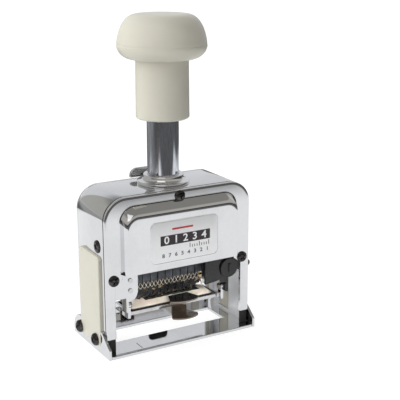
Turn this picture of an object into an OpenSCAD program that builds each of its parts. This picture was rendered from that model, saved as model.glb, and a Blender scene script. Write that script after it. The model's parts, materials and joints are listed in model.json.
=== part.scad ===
// Self-inking numbering machine. The plunger axis is the Z axis, the desk is z = 0 and the front is -Y.

/* [Housing] */
// Outside width across the side walls
body_w = 76; // [70:0.5:84]
// Height of the housing top above the desk
body_top = 74.1; // [73.6:0.1:80]
// Plunger axis to the front edge of the shell
shell_front = 14.2; // [14:0.1:16]
// Plunger axis to the rear edge of the shell
shell_back = 13.4; // [13.3:0.1:15]
// Sheet thickness of the shell
wall = 1.6; // [1.2:0.1:1.8]
// Outside radius of the two top corners
top_r = 10.8; // [8:0.2:14]
// Thickness of the front and back plates
plate_t = 1.6; // [1.2:0.1:2]
// Height of the bottom end of the plate legs
leg_bottom = 8; // [7:0.2:10]
// Width of each front leg
leg_w = 4.5; // [4.2:0.1:4.8]
// Height of the front window
window_top = 36.8; // [36:0.1:38]
// Width of each back leg
back_leg_w = 6.5; // [5:0.1:8]
// Height of the back window
back_window_top = 41; // [41:0.1:46]

/* [Pressed panel] */
// Flat border beside the pressed panel
panel_side = 7.3; // [7:0.1:9]
// Flat border above the pressed panel
panel_border = 4.3; // [4:0.1:6]
// Width of the slopes at the panel's sides
slope_side = 2.7; // [1.5:0.1:4]
// Height of the slope at the panel's top
slope_top = 5.6; // [3:0.1:7]
// Rise from the window to the panel's open lower edge
panel_lift = 1.8; // [1.6:0.1:3]
// Distance that the face stands out of the plate
panel_depth = 4.4; // [3:0.1:4.6]
// Sheet thickness of the pressed panel
panel_wall = 1; // [0.8:0.1:1.2]
// Width of the label
label_w = 35; // [28:0.2:40]
// Height of the label
label_h = 19.4; // [14:0.2:21]
// Height of the middle of the label
label_z = 51.9; // [51:0.1:53]

/* [Base] */
// Thickness of the base plate
base_t = 1.6; // [1.2:0.1:2]
// Half depth of the base, front to back
base_half_d = 20.2; // [19.6:0.1:22]
// Thickness of the side flaps
flap_t = 1.3; // [1:0.1:1.6]
// Height of the side flaps
flap_top = 11; // [9.6:0.1:12]
// Height of the rear upstand
upstand_top = 7.8; // [5:0.1:10]
// Margin of the base plate beside the printing opening
print_side = 7.5; // [6:0.1:9]
// Front edge of the printing opening
print_front = -5.4; // [-7:0.1:-5]
// Rear edge of the printing opening
print_back = 10.2; // [9.5:0.1:13]

/* [Knob and plunger] */
// Largest radius of the knob head
knob_r = 20.65; // [18:0.1:24]
// Height of the underside of the knob head
knob_z = 131.9; // [126:0.1:140]
// Height of the knob head
knob_h = 20.2; // [16:0.1:24]
// Radius of the knob sleeve
sleeve_r = 12.1; // [10:0.1:13]
// Length of the knob sleeve
sleeve_h = 27.1; // [20:0.1:29]
// Radius of the plunger rod
rod_r = 7.44; // [7.2:0.02:7.8]
// Bore radius of the plunger rod
rod_bore_r = 5.4; // [5.2:0.05:5.6]
// Stroke of the plunger
stroke = 18.5; // [18:0.1:18.5]
// Flange radius of the guide collar
collar_r = 12.4; // [11.6:0.1:12.4]
// Height of the guide collar over the housing
collar_h = 4.6; // [4:0.1:6]

/* [Number wheels] */
// Number of number wheels
wheel_count = 8; // [8]
// Distance from one wheel to the next
wheel_pitch = 4; // [3.6:0.05:4]
// Thickness of a wheel
wheel_t = 3.6; // [3:0.05:3.6]
// Radius over the corners of a wheel
wheel_r = 11; // [10.4:0.05:11]
// Faces of a wheel
wheel_faces = 12; // [12]
// Left end of the row of wheels
wheels_left = -17.5; // [-18:0.1:-17]
// Front to back place of the wheel axle
axle_y = 2.2; // [1.8:0.1:2.3]
// Height of the wheel axle
axle_z = 29.6; // [29.6:0.1:29.9]
// Radius of the wheel axle
axle_r = 2.5; // [2:0.05:3]
// Half distance between the carriage cheeks
cheek_x = 22; // [21.5:0.1:22.4]
// Thickness of a cheek
cheek_t = 1.6; // [1.2:0.1:1.8]
// Radius of the round lower end of a cheek
cheek_r = 10.4; // [9:0.1:10.4]

/* [Ink pad] */
// Front to back place of the pad holder's pivot
pivot_y = -11.2; // [-11.4:0.1:-11]
// Height of the pad holder's pivot
pivot_z = 21.4; // [21.2:0.1:21.6]
// Radius of the pivot pins
pivot_r = 0.9; // [0.7:0.05:1]
// Room between the pad tray and each hanger
tray_side = 2.7; // [2.6:0.1:4]
// Front edge of the pad tray
tray_front = -9.6; // [-9.6:0.1:-9]
// Rear edge of the pad tray
tray_back = 6; // [4:0.1:6.4]
// Height of the tray's underside
tray_z = 15.1; // [15:0.05:15.2]
// Height of the tray
tray_h = 1.8; // [1.8:0.1:2.4]
// Height of the ink pad's top
pad_top = 18.2; // [17.8:0.05:18.25]
// Width of the grip's upper tongue
grip_w = 15; // [12:0.5:22]
// Reach of the grip's upper tongue in front of the tray
grip_reach = 9; // [6:0.1:9.6]

/* [Hidden] */
$fn = 64;

// Clearances
fit = 0.05;          // pins in holes and rods in bushes
part_gap = 0.3;      // parts that pass each other
seam = 0.5;          // groove between the shell and the front plate
eps = 0.01;          // overlap of cutting shapes

// Housing
half_w = body_w / 2;
inner_x = half_w - wall;
plate_front = shell_front + plate_t;
back_face = shell_back + plate_t;
seam_depth = 0.8;
window_chamfer_x = 5;
window_chamfer_z = 3.6;
window_half = half_w - leg_w;
print_half = half_w - print_side;
panel_r = 7.5;
face_r = 5;
panel_w = body_w - 2 * panel_side;
panel_top = body_top - panel_border;
face_w = panel_w - 2 * slope_side;
face_top = panel_top - slope_top;
face_bottom = window_top + panel_lift;
face_front = plate_front + panel_depth;
label_t = 0.3;
label_r = 2.5;
slot_y = [-0.4, 8.4];
slot_z = [2.8, 42];

// Side panels
panel_y = [-11, 11];
side_panel_t = 1.5;
side_panel_z = [flap_top + part_gap, 46.5];
side_panel_r = 3;

// Screws
head_r = 2.6;
head_h = 1.2;
shank_r = 1.1;
side_head_r = 3;
edge_head_r = 1.7;
edge_shank_r = 0.8;
front_top_z = body_top - head_r - 0.2;
front_side_x = half_w - 3.9;
front_side_z = window_top - 0.7;
back_screw_x = 20;
back_screw_z = body_top - 4;
flap_screw_y = [-6.4, 11.6];
flap_screw_z = 5.75;
flap_head_h = 2.2;
edge_head_h = 2.3;
left_screw_yz = [-7.6, 50.8];
right_screw_yz = [-12.8, 31.5];
front_lug_half = 5;
back_lug_half = back_screw_x + 4;
lug_gap = 0.2;
buffer_x = 6.3;
buffer_w = 10.5;
buffer_y = [base_half_d - 1.6, base_half_d];
buffer_h = 9.4;
foot_x = [half_w - 4.3, half_w - 0.6];

// Collar, buffer and stop
spigot_r = rod_r + 2.1;
nut_r = 11.5;
nut_bottom = body_top - 5.1;
buffer_t = 1.2;
ring_r = rod_r + 1.56;
flange_h = 1.8;
stop_t = 1;
stop_z = body_top + 0.2;
stop_half = 2.5;
stop_travel = 2;
notch_depth = 1.35;
stop_tip = rod_r + part_gap + 0.5;
tab_front = collar_r + stop_travel + 0.2;
tab_t = 1.6;
tab_half = 10;
tab_h = 4.5;
tab_corner = 3.8;

// Carriage
head_h2 = 4;
head_top = nut_bottom - buffer_t - part_gap;
head_bottom = head_top - head_h2;
head_half_d = 8;
lug_z = [head_top + 0.7, body_top - wall];
bridge_top = head_bottom - stroke - 0.6;
bridge_t = 2.8;
bridge_bottom = bridge_top - bridge_t;
bridge_half_d = 4;
slot_half = bridge_half_d + 1.2;
comb_y = [-10.6, -9.6];
comb_lift = 0.9;
comb_h = 15.5;
comb_bar_h = 4;
comb_bar_d = 2;
comb_z = [axle_z + comb_lift, axle_z + comb_lift + comb_h];
comb_bar_z = comb_z[1] - comb_bar_h;
comb_margin = 1;
finger_gap = 0.35;
tie_y = 10.2;
tie_r = 1.2;
tie_lift = 13.5;
tie_z = axle_z + tie_lift;
nut_corner_r = 4;
nut_t = 1.8;
head_screw_y = [-5, 5];
spacer_r = 6;
ratchet_r = 8.4;
ratchet_t = 2.6;
ratchet_x = 0.6;
tooth = [1.9, 1.8];
teeth = 10;
lever_hub_r = 4.6;
lever_arm = [9.2, 3.2];
lever_t = 1.4;
lever_gap = 0.7;
grub_r = 1.2;
rod_top = knob_z + 11;
bore_top = head_bottom + 31.5;
wheels_right = wheels_left + (wheel_count - 1) * wheel_pitch + wheel_t;
lever_x = wheels_right + ratchet_x + ratchet_t + lever_gap;
row_room = 1;         // least room between the feed lever and a cheek
cheek_in = max(cheek_x, lever_x + lever_t + row_room);
cheek_out = cheek_in + cheek_t;
comb_left = comb_margin - cheek_in;
finger_count = floor((cheek_in - comb_left) / wheel_pitch);

// Spring and guide post
post_r = 3;
seat_r = 5;
seat_t = 1.2;
post_top = bore_top - stroke - 2.5;
spring_r = 4.3;
wire_r = 0.45;
spring_z = [bridge_top + seat_t + wire_r, bore_top - wire_r - 0.05];
spring_turns = 11;

// Brackets and pad holder
tab_x_t = 1.4;
bracket_t = 1.1;
bracket_x = [half_w - 16.6, inner_x - fit];
bracket_top = bridge_top + 1.6;
bracket_low = pivot_z + 2.6;
bracket_pin_x = half_w - 12.8;
bracket_pin_z = [29.4, 34.3];
bracket_pin_r = 0.7;
bracket_flange_z = [28, 38];
bracket_flange_back = -9.4;
hanger_x = [window_half - 7.3, window_half - 6.1];
hanger_bottom = pivot_z - 2.4;
tray_w = 2 * (hanger_x[0] - tray_side);
ear_x = [hanger_x[0] - 1.8, hanger_x[0] - 0.4];
ear_reach = 1.2;
ear_depth = 2.8;
ear_r = 1.6;
ear_back = 6.2;
holder_t = 0.8;
holder_top = tray_z - 0.1;
holder_front = tray_front + 3.6;
lip_x = [tray_w / 2 + part_gap, tray_w / 2 + 1.1];
lip_h = 2;
tray_wall = 0.8;
pad_margin = 0.5;
grip_x = 2.4;
web_half = 5.15;
grip_t = 0.8;
grip_z = [11.6, 20.6];
neck_half = 4;
neck_z = 15.9;
lower_half = 6.9;
tongue_front = 3.5;
over_tray = 1.1;
dial_x = window_half - 6.1;
dial_z = window_top - 5.4;
dial_r = 4.8;
dial_t = 1;
dial_stem_r = 1;
dial_gap = 0.1;
dial_bar = [1, 4.4];
hood_x = bracket_x[0] - 6.8;
hood_z = [bracket_low + 0.6, 38];
hood_r = dial_r + 0.4;

module at_y(y) translate([0, y, 0]) rotate([90, 0, 0]) children();

module along_x(x0, x1, y, z, r) translate([x0, y, z]) rotate([0, 90, 0]) cylinder(h = x1 - x0, r = r);

module along_y(x, y0, y1, z, r) translate([x, y1, z]) rotate([90, 0, 0]) cylinder(h = y1 - y0, r = r);

module box(x, y, z) translate([x[0], y[0], z[0]]) cube([x[1] - x[0], y[1] - y[0], z[1] - z[0]]);

// Plate in the XZ plane from y0 (front) to y1
module plate_xz(y0, y1) translate([0, y1, 0]) rotate([90, 0, 0]) linear_extrude(y1 - y0) children();

// Plate in the YZ plane from x0 to x1; the outline's first axis is Y
module plate_yz(x0, x1)
    translate([x0, 0, 0]) rotate([90, 0, 90]) linear_extrude(x1 - x0) children();

module mirror_pair() {
    children();
    mirror([1, 0, 0]) children();
}

// Outline with square lower corners and round upper ones
module arch(w, z0, z1, r) {
    translate([-w / 2, z0]) square([w, z1 - r - z0]);
    translate([-w / 2 + r, z1 - r]) square([w - 2 * r, r]);
    for (s = [-1, 1]) translate([s * (w / 2 - r), z1 - r]) circle(r);
}

module round_rect(w, h, r) {
    translate([-w / 2 + r, -h / 2]) square([w - 2 * r, h]);
    translate([-w / 2, -h / 2 + r]) square([w, h - 2 * r]);
    for (s = [-1, 1]) for (t = [-1, 1]) translate([s * (w / 2 - r), t * (h / 2 - r)]) circle(r);
}

// Housing -----------------------------------------------------------------------------------------

module shell_outline(inset) arch(body_w - 2 * inset, base_t, body_top - inset, top_r - inset);

module housing_shell() color("gainsboro") difference() {
    union() {
        plate_xz(-shell_front + seam_depth, shell_back) shell_outline(0);
        plate_xz(-shell_front, -shell_front + seam_depth + eps) shell_outline(seam);
    }
    plate_xz(-shell_front - 1, shell_back + 1)
        arch(body_w - 2 * wall, base_t - 1, body_top - wall, top_r - wall);
    translate([0, 0, body_top - wall - 1]) cylinder(h = wall + 2, r = spigot_r + fit);
    mirror_pair() {
        box([inner_x - 1, half_w + 1], slot_y, slot_z);
        for (y = flap_screw_y) along_x(inner_x - 1, half_w + 1, y, flap_screw_z, shank_r + fit);
    }
    along_x(-half_w - 1, -inner_x + 1, left_screw_yz[0], left_screw_yz[1], shank_r + fit);
    along_x(inner_x - 1, half_w + 1, right_screw_yz[0], right_screw_yz[1], edge_shank_r + fit);
}

module window_outline() {
    translate([-window_half, 0]) square([2 * window_half, window_top - window_chamfer_z]);
    polygon([
        [-window_half, window_top - window_chamfer_z - eps],
        [window_half, window_top - window_chamfer_z - eps],
        [window_half - window_chamfer_x, window_top],
        [-window_half + window_chamfer_x, window_top]
    ]);
}

// Solid of the pressed panel, shrunk by s on all sides and opened below by drop
module panel_solid(s, drop) hull() {
    $fn = 32;
    plate_xz(-plate_front - eps, -plate_front)
        arch(panel_w - 2 * s, face_bottom - 2 - drop, panel_top - s, panel_r);
    plate_xz(-face_front + s, -face_front + s + eps)
        arch(face_w - 2 * s, face_bottom - drop, face_top - s, face_r);
}

module front_plate() color("gainsboro") difference() {
    union() {
        plate_xz(-plate_front, -shell_front) difference() {
            arch(body_w, leg_bottom, body_top, top_r);
            window_outline();
            arch(panel_w - 2 * panel_wall, 0, panel_top - panel_wall, panel_r - panel_wall);
        }
        intersection() {
            difference() {
                panel_solid(0, 0);
                panel_solid(panel_wall, 4);
            }
            box([-half_w, half_w], [-face_front - 1, -plate_front], [face_bottom, body_top]);
        }
    }
    for (x = [-front_side_x, front_side_x])
        along_y(x, -plate_front - 1, -shell_front + 1, front_side_z, shank_r + fit);
    along_y(0, -plate_front - 1, -shell_front + 1, front_top_z, shank_r + fit);
    along_y(0, -plate_front - panel_depth, -plate_front, front_top_z, head_r + 0.15);
}

module back_plate() color("gainsboro") difference() {
    plate_xz(shell_back, back_face) difference() {
        arch(body_w, leg_bottom, body_top, top_r);
        translate([-half_w + back_leg_w, 0]) square([body_w - 2 * back_leg_w, back_window_top]);
    }
    for (x = [-back_screw_x, back_screw_x])
        along_y(x, shell_back - 1, back_face + 1, back_screw_z, shank_r + fit);
}

module flap_outline() {
    r = 8;
    polygon([
        [-base_half_d, 0], [base_half_d, 0], [base_half_d, flap_top - r], [base_half_d - r, flap_top],
        [-12.4, flap_top], [-base_half_d + 0.2, 4.9], [-base_half_d, 4.7]
    ]);
    translate([base_half_d - r, flap_top - r]) circle(r);
}

module base_plate() color("gainsboro") difference() {
    union() {
        box([-half_w, half_w], [-base_half_d, base_half_d], [0, base_t]);
        box([2 - half_w, half_w - 2], [base_half_d - 1.6, base_half_d], [0, upstand_top]);
        mirror_pair() intersection() {
            plate_yz(half_w, half_w + flap_t) flap_outline();
            box([half_w, half_w + flap_t], [-base_half_d, base_half_d], [0, flap_top]);
        }
    }
    box([-print_half, print_half], [print_front, print_back], [-1, base_t + 1]);
    mirror_pair() for (y = flap_screw_y)
        along_x(half_w - 1, half_w + flap_t + 1, y, flap_screw_z, shank_r + fit);
}

module side_panel() {
    mid_y = (panel_y[0] + panel_y[1]) / 2;
    mid_z = (side_panel_z[0] + side_panel_z[1]) / 2;
    plate_yz(half_w, half_w + side_panel_t) translate([mid_y, mid_z])
        round_rect(panel_y[1] - panel_y[0], side_panel_z[1] - side_panel_z[0], side_panel_r);
    box([inner_x, half_w + eps], [slot_y[0] + part_gap, slot_y[1] - part_gap],
        [slot_z[0] + part_gap, slot_z[1] - part_gap]);
}

module side_panel_left() color("ivory") mirror([1, 0, 0]) side_panel();

module side_panel_right() color("ivory") side_panel();

module label_plate() color("white")
    plate_xz(-face_front - label_t, -face_front) translate([0, label_z]) round_rect(label_w, label_h, label_r);

// Pan head on the outside of a sheet with its shank going in along +Y
module screw_y(x, y_face, z, length) {
    along_y(x, y_face, y_face + length, z, shank_r);
    along_y(x, y_face - head_h, y_face, z, head_r);
}

module front_plate_screws() color("#282626") {
    for (x = [-front_side_x, front_side_x]) screw_y(x, -plate_front, front_side_z, plate_t + bracket_t);
    screw_y(0, -plate_front, front_top_z, plate_t + 2.2);
}

module back_plate_screws() color("#282626") for (x = [-back_screw_x, back_screw_x]) {
    along_y(x, shell_back - 1.5, back_face, back_screw_z, shank_r);
    along_y(x, back_face, back_face + head_h, back_screw_z, head_r);
}

module side_screw(x_face, head_t, y, z, length, shank = shank_r, head = side_head_r) {
    along_x(x_face - length, x_face, y, z, shank);
    along_x(x_face, x_face + head_t, y, z, head);
}

module side_wall_screws() color("#282626") {
    mirror([1, 0, 0]) side_screw(half_w, 1, left_screw_yz[0], left_screw_yz[1], wall + 1.4);
    side_screw(half_w, edge_head_h, right_screw_yz[0], right_screw_yz[1], wall + 1.4,
        edge_shank_r, edge_head_r);
}

module base_flap_screws() color("#282626") mirror_pair() for (y = flap_screw_y)
    side_screw(half_w + flap_t, flap_head_h, y, flap_screw_z, flap_t + wall + 1);

// Blocks welded under the housing top, which take the plate screws
module plate_lugs() color("silver") difference() {
    union() {
        box([-front_lug_half, front_lug_half], [-shell_front, -nut_r - lug_gap], lug_z);
        box([-back_lug_half, back_lug_half], [nut_r + lug_gap, shell_back], lug_z);
    }
    along_y(0, -shell_front - 1, 0, front_top_z, shank_r + fit);
    for (x = [-back_screw_x, back_screw_x])
        along_y(x, nut_r, shell_back + 1, back_screw_z, shank_r + fit);
}

// Guide collar, buffer and stop ---------------------------------------------------------------------

module guide_collar() color("gainsboro") difference() {
    rotate_extrude() polygon([
        [rod_r + fit, nut_bottom], [spigot_r, nut_bottom], [spigot_r, body_top], [collar_r - 0.4, body_top],
        [collar_r, body_top + 0.4], [collar_r, body_top + flange_h - 0.4],
        [collar_r - 0.4, body_top + flange_h], [collar_r - 1, body_top + flange_h + 0.3],
        [ring_r + 0.6, body_top + collar_h - 0.3], [ring_r, body_top + collar_h], [rod_r + fit, body_top + collar_h]
    ]);
    box([-stop_half - part_gap, stop_half + part_gap], [0, collar_r + 1],
        [stop_z - 0.1, stop_z + stop_t + 0.1]);
}

module collar_nut() color("silver") difference() {
    translate([0, 0, nut_bottom]) cylinder(h = body_top - wall - nut_bottom, r = nut_r);
    translate([0, 0, nut_bottom - 1]) cylinder(h = 10, r = spigot_r + fit);
}

module rest_buffer() color("#202020") difference() {
    translate([0, 0, nut_bottom - buffer_t]) cylinder(h = buffer_t, r = nut_r - 0.5);
    translate([0, 0, nut_bottom - buffer_t - 1]) cylinder(h = buffer_t + 2, r = rod_r + part_gap);
}

module stop_slide() color("#707478") {
    box([-stop_half, stop_half], [stop_tip, tab_front + eps], [stop_z, stop_z + stop_t]);
    plate_xz(tab_front, tab_front + tab_t) intersection() {
        arch(2 * tab_half, stop_z, stop_z + tab_h, tab_corner);
        translate([-tab_half, stop_z]) square([2 * tab_half, tab_h]);
    }
}

// Rubber cap on the rear upstand, and the rubber below both legs of the front plate
module desk_buffer() color("#202020") {
    plate_xz(buffer_y[0], buffer_y[1]) translate([buffer_x, 0])
        arch(buffer_w, upstand_top, upstand_top + buffer_h, 2);
    mirror_pair() box(foot_x, [0.1 - plate_front, -shell_front], [base_t, leg_bottom]);
}

// Brackets and bridge ---------------------------------------------------------------------------------

module bracket_outline() {
    low = bracket_low + 2;
    translate([bracket_x[0], low + 2.2]) square([bracket_x[1] - bracket_x[0], bracket_top - low - 2.2]);
    polygon([
        [bracket_x[0], low + 2.3], [bracket_x[0] + 0.8, low], [ear_x[0] - 0.6, bracket_low],
        [hanger_x[0], bracket_low], [hanger_x[0], hanger_bottom], [hanger_x[1], hanger_bottom],
        [hanger_x[1], low], [bracket_x[1], low], [bracket_x[1], low + 2.3]
    ]);
}

module bracket() difference() {
    union() {
        plate_xz(-shell_front, -shell_front + bracket_t) children();
        box([bracket_x[1] - tab_x_t, bracket_x[1]], [-shell_front, bracket_flange_back], bracket_flange_z);
        box(hanger_x, [-shell_front, pivot_y + ear_r], [hanger_bottom, bracket_low + 2.2]);
    }
    along_y(front_side_x, -shell_front - 1, 0, front_side_z, shank_r + fit);
    along_x(hanger_x[0], hanger_x[1] + 1, pivot_y, pivot_z, pivot_r + fit);
    along_x(bracket_x[1] - 2, half_w, right_screw_yz[0], right_screw_yz[1], edge_shank_r + fit);
}

module left_bracket() color("gainsboro") mirror([1, 0, 0]) difference() {
    bracket() bracket_outline();
    for (z = bracket_pin_z) along_y(bracket_pin_x, -shell_front - 1, 0, z, bracket_pin_r + fit);
}

// The right bracket reaches in front of the feed parts and is round below the dial
module right_bracket() color("#505458") difference() {
    bracket() {
        bracket_outline();
        polygon([
            [hood_x, hood_z[0]], [dial_x, dial_z - hood_r], [dial_x, hood_z[1]], [hood_x, hood_z[1]]
        ]);
    }
    along_y(dial_x, -shell_front - 1, 0, dial_z, dial_stem_r + fit);
    difference() {
        box([dial_x, bracket_x[1] + 1], [-shell_front - 1, -shell_front + bracket_t + eps], [0, dial_z]);
        along_y(dial_x, -shell_front - 2, 0, dial_z, hood_r);
    }
}

// Riveted pins on the left bracket
module bracket_pins() color("silver") for (z = bracket_pin_z) {
    along_y(-bracket_pin_x, -shell_front, -shell_front + bracket_t, z, bracket_pin_r);
    along_y(-bracket_pin_x, -shell_front - 0.6, -shell_front, z, bracket_pin_r + 0.4);
}

module pad_pivot_pins() color("silver") mirror_pair() {
    along_x(ear_x[0] - 0.2, hanger_x[1], pivot_y, pivot_z, pivot_r);
    along_x(ear_x[0] - 0.8, ear_x[0] - 0.2, pivot_y, pivot_z, pivot_r + 0.6);
}

module selector_dial() color("#606468") {
    face_y = -shell_front - dial_gap - dial_t;
    along_y(dial_x, -shell_front - dial_gap, -shell_front + bracket_t, dial_z, dial_stem_r);
    along_y(dial_x, face_y, -shell_front - dial_gap, dial_z, dial_r);
    box([dial_x - dial_bar[0] / 2, dial_x + dial_bar[0] / 2], [face_y - 0.8, face_y + eps],
        [dial_z - dial_bar[1] / 2, dial_z + dial_bar[1] / 2]);
}

module spring_bridge() color("silver") difference() {
    union() {
        box([-inner_x + fit, inner_x - fit], [-bridge_half_d, bridge_half_d], [bridge_bottom, bridge_top]);
        mirror_pair() box([bracket_x[1] - tab_x_t, bracket_x[1]], [left_screw_yz[0] - 3, bridge_half_d],
            [bridge_bottom, left_screw_yz[1] + 4]);
    }
    along_x(-half_w, -inner_x + 3, left_screw_yz[0], left_screw_yz[1], shank_r + fit);
    translate([0, 0, bridge_bottom - 1]) cylinder(h = bridge_t + 2, r = post_r - 1 + fit);
}

module guide_post() color("silver") {
    translate([0, 0, bridge_bottom]) cylinder(h = bridge_t, r = post_r - 1);
    translate([0, 0, bridge_top]) cylinder(h = seat_t, r = seat_r);
    translate([0, 0, bridge_top + seat_t - eps]) cylinder(h = post_top - bridge_top - seat_t, r = post_r);
}

// Coil spring: a round wire swept along a helix
function coil_ring(i, n, sides) = let (
    t = i / n,
    a = 360 * spring_turns * t,
    z = spring_z[0] + t * (spring_z[1] - spring_z[0])
) [for (k = [0:sides - 1]) let (b = 360 * k / sides, r = spring_r + wire_r * cos(b))
    [r * cos(a), r * sin(a), z + wire_r * sin(b)]];

module return_spring() color("silver") {
    n = spring_turns * 16;
    sides = 6;
    points = [for (i = [0:n]) each coil_ring(i, n, sides)];
    skin = [for (i = [0:n - 1]) for (k = [0:sides - 1])
        let (a = i * sides + k, b = i * sides + (k + 1) % sides)
        each [[a, a + sides, b], [b, a + sides, b + sides]]];
    caps = [[for (k = [0:sides - 1]) k], [for (k = [sides - 1:-1:0]) n * sides + k]];
    polyhedron(points = points, faces = concat(skin, caps));
}

// Knob and plunger --------------------------------------------------------------------------------------

function quarter(rc, zc, rr, zr, a0, a1, n) =
    [for (i = [0:n]) let (a = a0 + (a1 - a0) * i / n) [rc + rr * cos(a), zc + zr * sin(a)]];

module knob_cap() color("ivory") {
    mid = knob_z + 0.38 * knob_h;
    low_r = knob_r - 6.4;
    top_flat = knob_r - 8;
    rotate_extrude() polygon(concat(
        [[rod_r + fit, rod_top + fit], [rod_r + fit, knob_z]],
        quarter(low_r, mid, knob_r - low_r, mid - knob_z, -90, 0, 10),
        quarter(top_flat, mid, knob_r - top_flat, knob_z + knob_h - mid, 6, 90, 12),
        [[0, knob_z + knob_h], [0, rod_top + fit]]
    ));
}

module knob_sleeve() color("ivory") {
    z0 = knob_z - sleeve_h;
    rotate_extrude() polygon(concat(
        [[rod_r + fit, knob_z], [rod_r + fit, z0]],
        quarter(sleeve_r - 0.6, z0 + 0.9, 0.9, 0.9, -90, 0, 4),
        [[sleeve_r + 0.2, z0 + 3], [sleeve_r, knob_z]]
    ));
}

module plunger_rod() color("gainsboro") difference() {
    translate([0, 0, head_bottom]) cylinder(h = rod_top - head_bottom, r = rod_r);
    translate([0, 0, head_bottom - 1]) cylinder(h = bore_top - head_bottom + 1, r = rod_bore_r);
    for (z = [stop_z, stop_z + stroke])
        box([-rod_r, rod_r], [rod_r - notch_depth, rod_r + 1], [z - 0.25, z + stop_t + 0.25]);
    along_y(0, -rod_r - 1, rod_r + 1, head_bottom + head_h2 / 2, grub_r + fit);
}

module carriage_head() color("silver") difference() {
    box([-cheek_in, cheek_in], [-head_half_d, head_half_d], [head_bottom, head_top]);
    translate([0, 0, head_bottom - 1]) cylinder(h = head_h2 + 2, r = rod_r + fit);
    along_y(0, -head_half_d - 1, head_half_d + 1, head_bottom + head_h2 / 2, grub_r + fit);
    mirror_pair() for (y = head_screw_y)
        along_x(cheek_in - 4.5, cheek_in + 1, y, head_bottom + head_h2 / 2, shank_r + fit);
}

module rod_grub_screws() color("#282626") for (s = [-1, 1]) mirror([0, s < 0 ? 0 : 1, 0])
    along_y(0, -head_half_d, -rod_bore_r - 0.4, head_bottom + head_h2 / 2, grub_r);

module head_screws() color("#282626") mirror_pair() for (y = head_screw_y) {
    along_x(cheek_in - 4, cheek_out, y, head_bottom + head_h2 / 2, shank_r);
    along_x(cheek_out, cheek_out + 1, y, head_bottom + head_h2 / 2, 1.9);
}

module cheek_outline() difference() {
    union() {
        translate([-9, bridge_bottom]) square([18, head_top - bridge_bottom]);
        translate([axle_y, axle_z]) circle(cheek_r);
        translate([axle_y - cheek_r, axle_z]) square([2 * cheek_r, bridge_bottom - axle_z + eps]);
        polygon([
            [comb_y[0] + 0.2, axle_z + 2.6], [axle_y - cheek_r + 0.2, axle_z],
            [0, axle_z + 4], [0, comb_z[1] + 2], [comb_y[0] + 0.2, comb_z[1] + 2]
        ]);
    }
    translate([-slot_half, bridge_bottom - 0.4])
        square([2 * slot_half, head_bottom - bridge_bottom + 0.1]);
    translate([axle_y, axle_z]) circle(axle_r + fit);
    translate([tie_y, tie_z]) circle(tie_r + fit);
    for (y = head_screw_y) translate([y, head_bottom + head_h2 / 2]) circle(shank_r + fit);
}

module right_cheek() color("#5a5e62") plate_yz(cheek_in, cheek_out) cheek_outline();

module left_cheek() color("#5a5e62") mirror([1, 0, 0]) right_cheek();

module wheel_axle() color("silver") along_x(-cheek_out - nut_t, cheek_out + nut_t, axle_y, axle_z, axle_r);

module axle_nuts() color("#282626") mirror_pair() difference() {
    translate([cheek_out, axle_y, axle_z]) rotate([0, 90, 0]) cylinder(h = nut_t, r = nut_corner_r, $fn = 6);
    along_x(cheek_out - 1, cheek_out + nut_t + 1, axle_y, axle_z, axle_r + fit);
}

module rear_tie_rod() color("silver") {
    along_x(-cheek_out, cheek_out, tie_y, tie_z, tie_r);
    mirror_pair() along_x(cheek_out, cheek_out + 0.8, tie_y, tie_z, tie_r + 0.7);
}

module comb_bar() color("#4a4e52")
    box([-cheek_in, cheek_in], [comb_y[1], comb_y[1] + comb_bar_d], [comb_bar_z, comb_z[1]]);

module comb_fingers() color("#3c3e42") for (i = [0:finger_count - 1])
    box([comb_left + i * wheel_pitch, comb_left + (i + 1) * wheel_pitch - finger_gap], comb_y, comb_z);

module axle_spacer() color("silver") difference() {
    along_x(-cheek_in, wheels_left - part_gap, axle_y, axle_z, spacer_r);
    along_x(-cheek_in - 1, wheels_left, axle_y, axle_z, axle_r + fit);
}

// Toothed disc that steps the row on
module feed_ratchet() color("goldenrod") difference() {
    translate([wheels_right + ratchet_x, axle_y, axle_z]) rotate([0, 90, 0]) linear_extrude(ratchet_t) {
        circle(ratchet_r);
        for (i = [0:teeth - 1]) rotate(360 / teeth * i)
            translate([ratchet_r - 0.8, -tooth[1] / 2]) square(tooth);
    }
    along_x(wheels_right, cheek_in, axle_y, axle_z, axle_r + fit);
}

module feed_lever() color("goldenrod") difference() {
    plate_yz(lever_x, lever_x + lever_t) union() {
        translate([axle_y, axle_z]) circle(lever_hub_r);
        translate([axle_y, axle_z - lever_arm[1] / 2]) square(lever_arm);
    }
    along_x(lever_x - 1, lever_x + lever_t + 1, axle_y, axle_z, axle_r + fit);
}

module number_wheel(i) color("#3c3e42") difference() {
    translate([wheels_left + (i - 1) * wheel_pitch, axle_y, axle_z]) rotate([0, 90, 0])
        rotate(180 / wheel_faces) cylinder(h = wheel_t, r = wheel_r, $fn = wheel_faces);
    along_x(wheels_left + (i - 1) * wheel_pitch - 1, wheels_left + i * wheel_pitch + 1,
        axle_y, axle_z, axle_r + fit);
}

// Ink pad ---------------------------------------------------------------------------------------------

module ear_outline() difference() {
    union() {
        translate([pivot_y, pivot_z]) circle(ear_r);
        translate([pivot_y - ear_reach, holder_top]) square([ear_depth, pivot_z - holder_top]);
        translate([pivot_y - ear_reach, holder_top]) square([ear_back, lip_h]);
    }
    translate([pivot_y, pivot_z]) circle(pivot_r + fit);
}

module pad_holder() color("gainsboro") {
    box([-lip_x[1], lip_x[1]], [holder_front, tray_back + 0.2], [holder_top - holder_t, holder_top]);
    mirror_pair() {
        box(lip_x, [tray_front, tray_back + 0.2], [holder_top - eps, holder_top + lip_h]);
        plate_yz(ear_x[0], ear_x[1]) ear_outline();
    }
}

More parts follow.
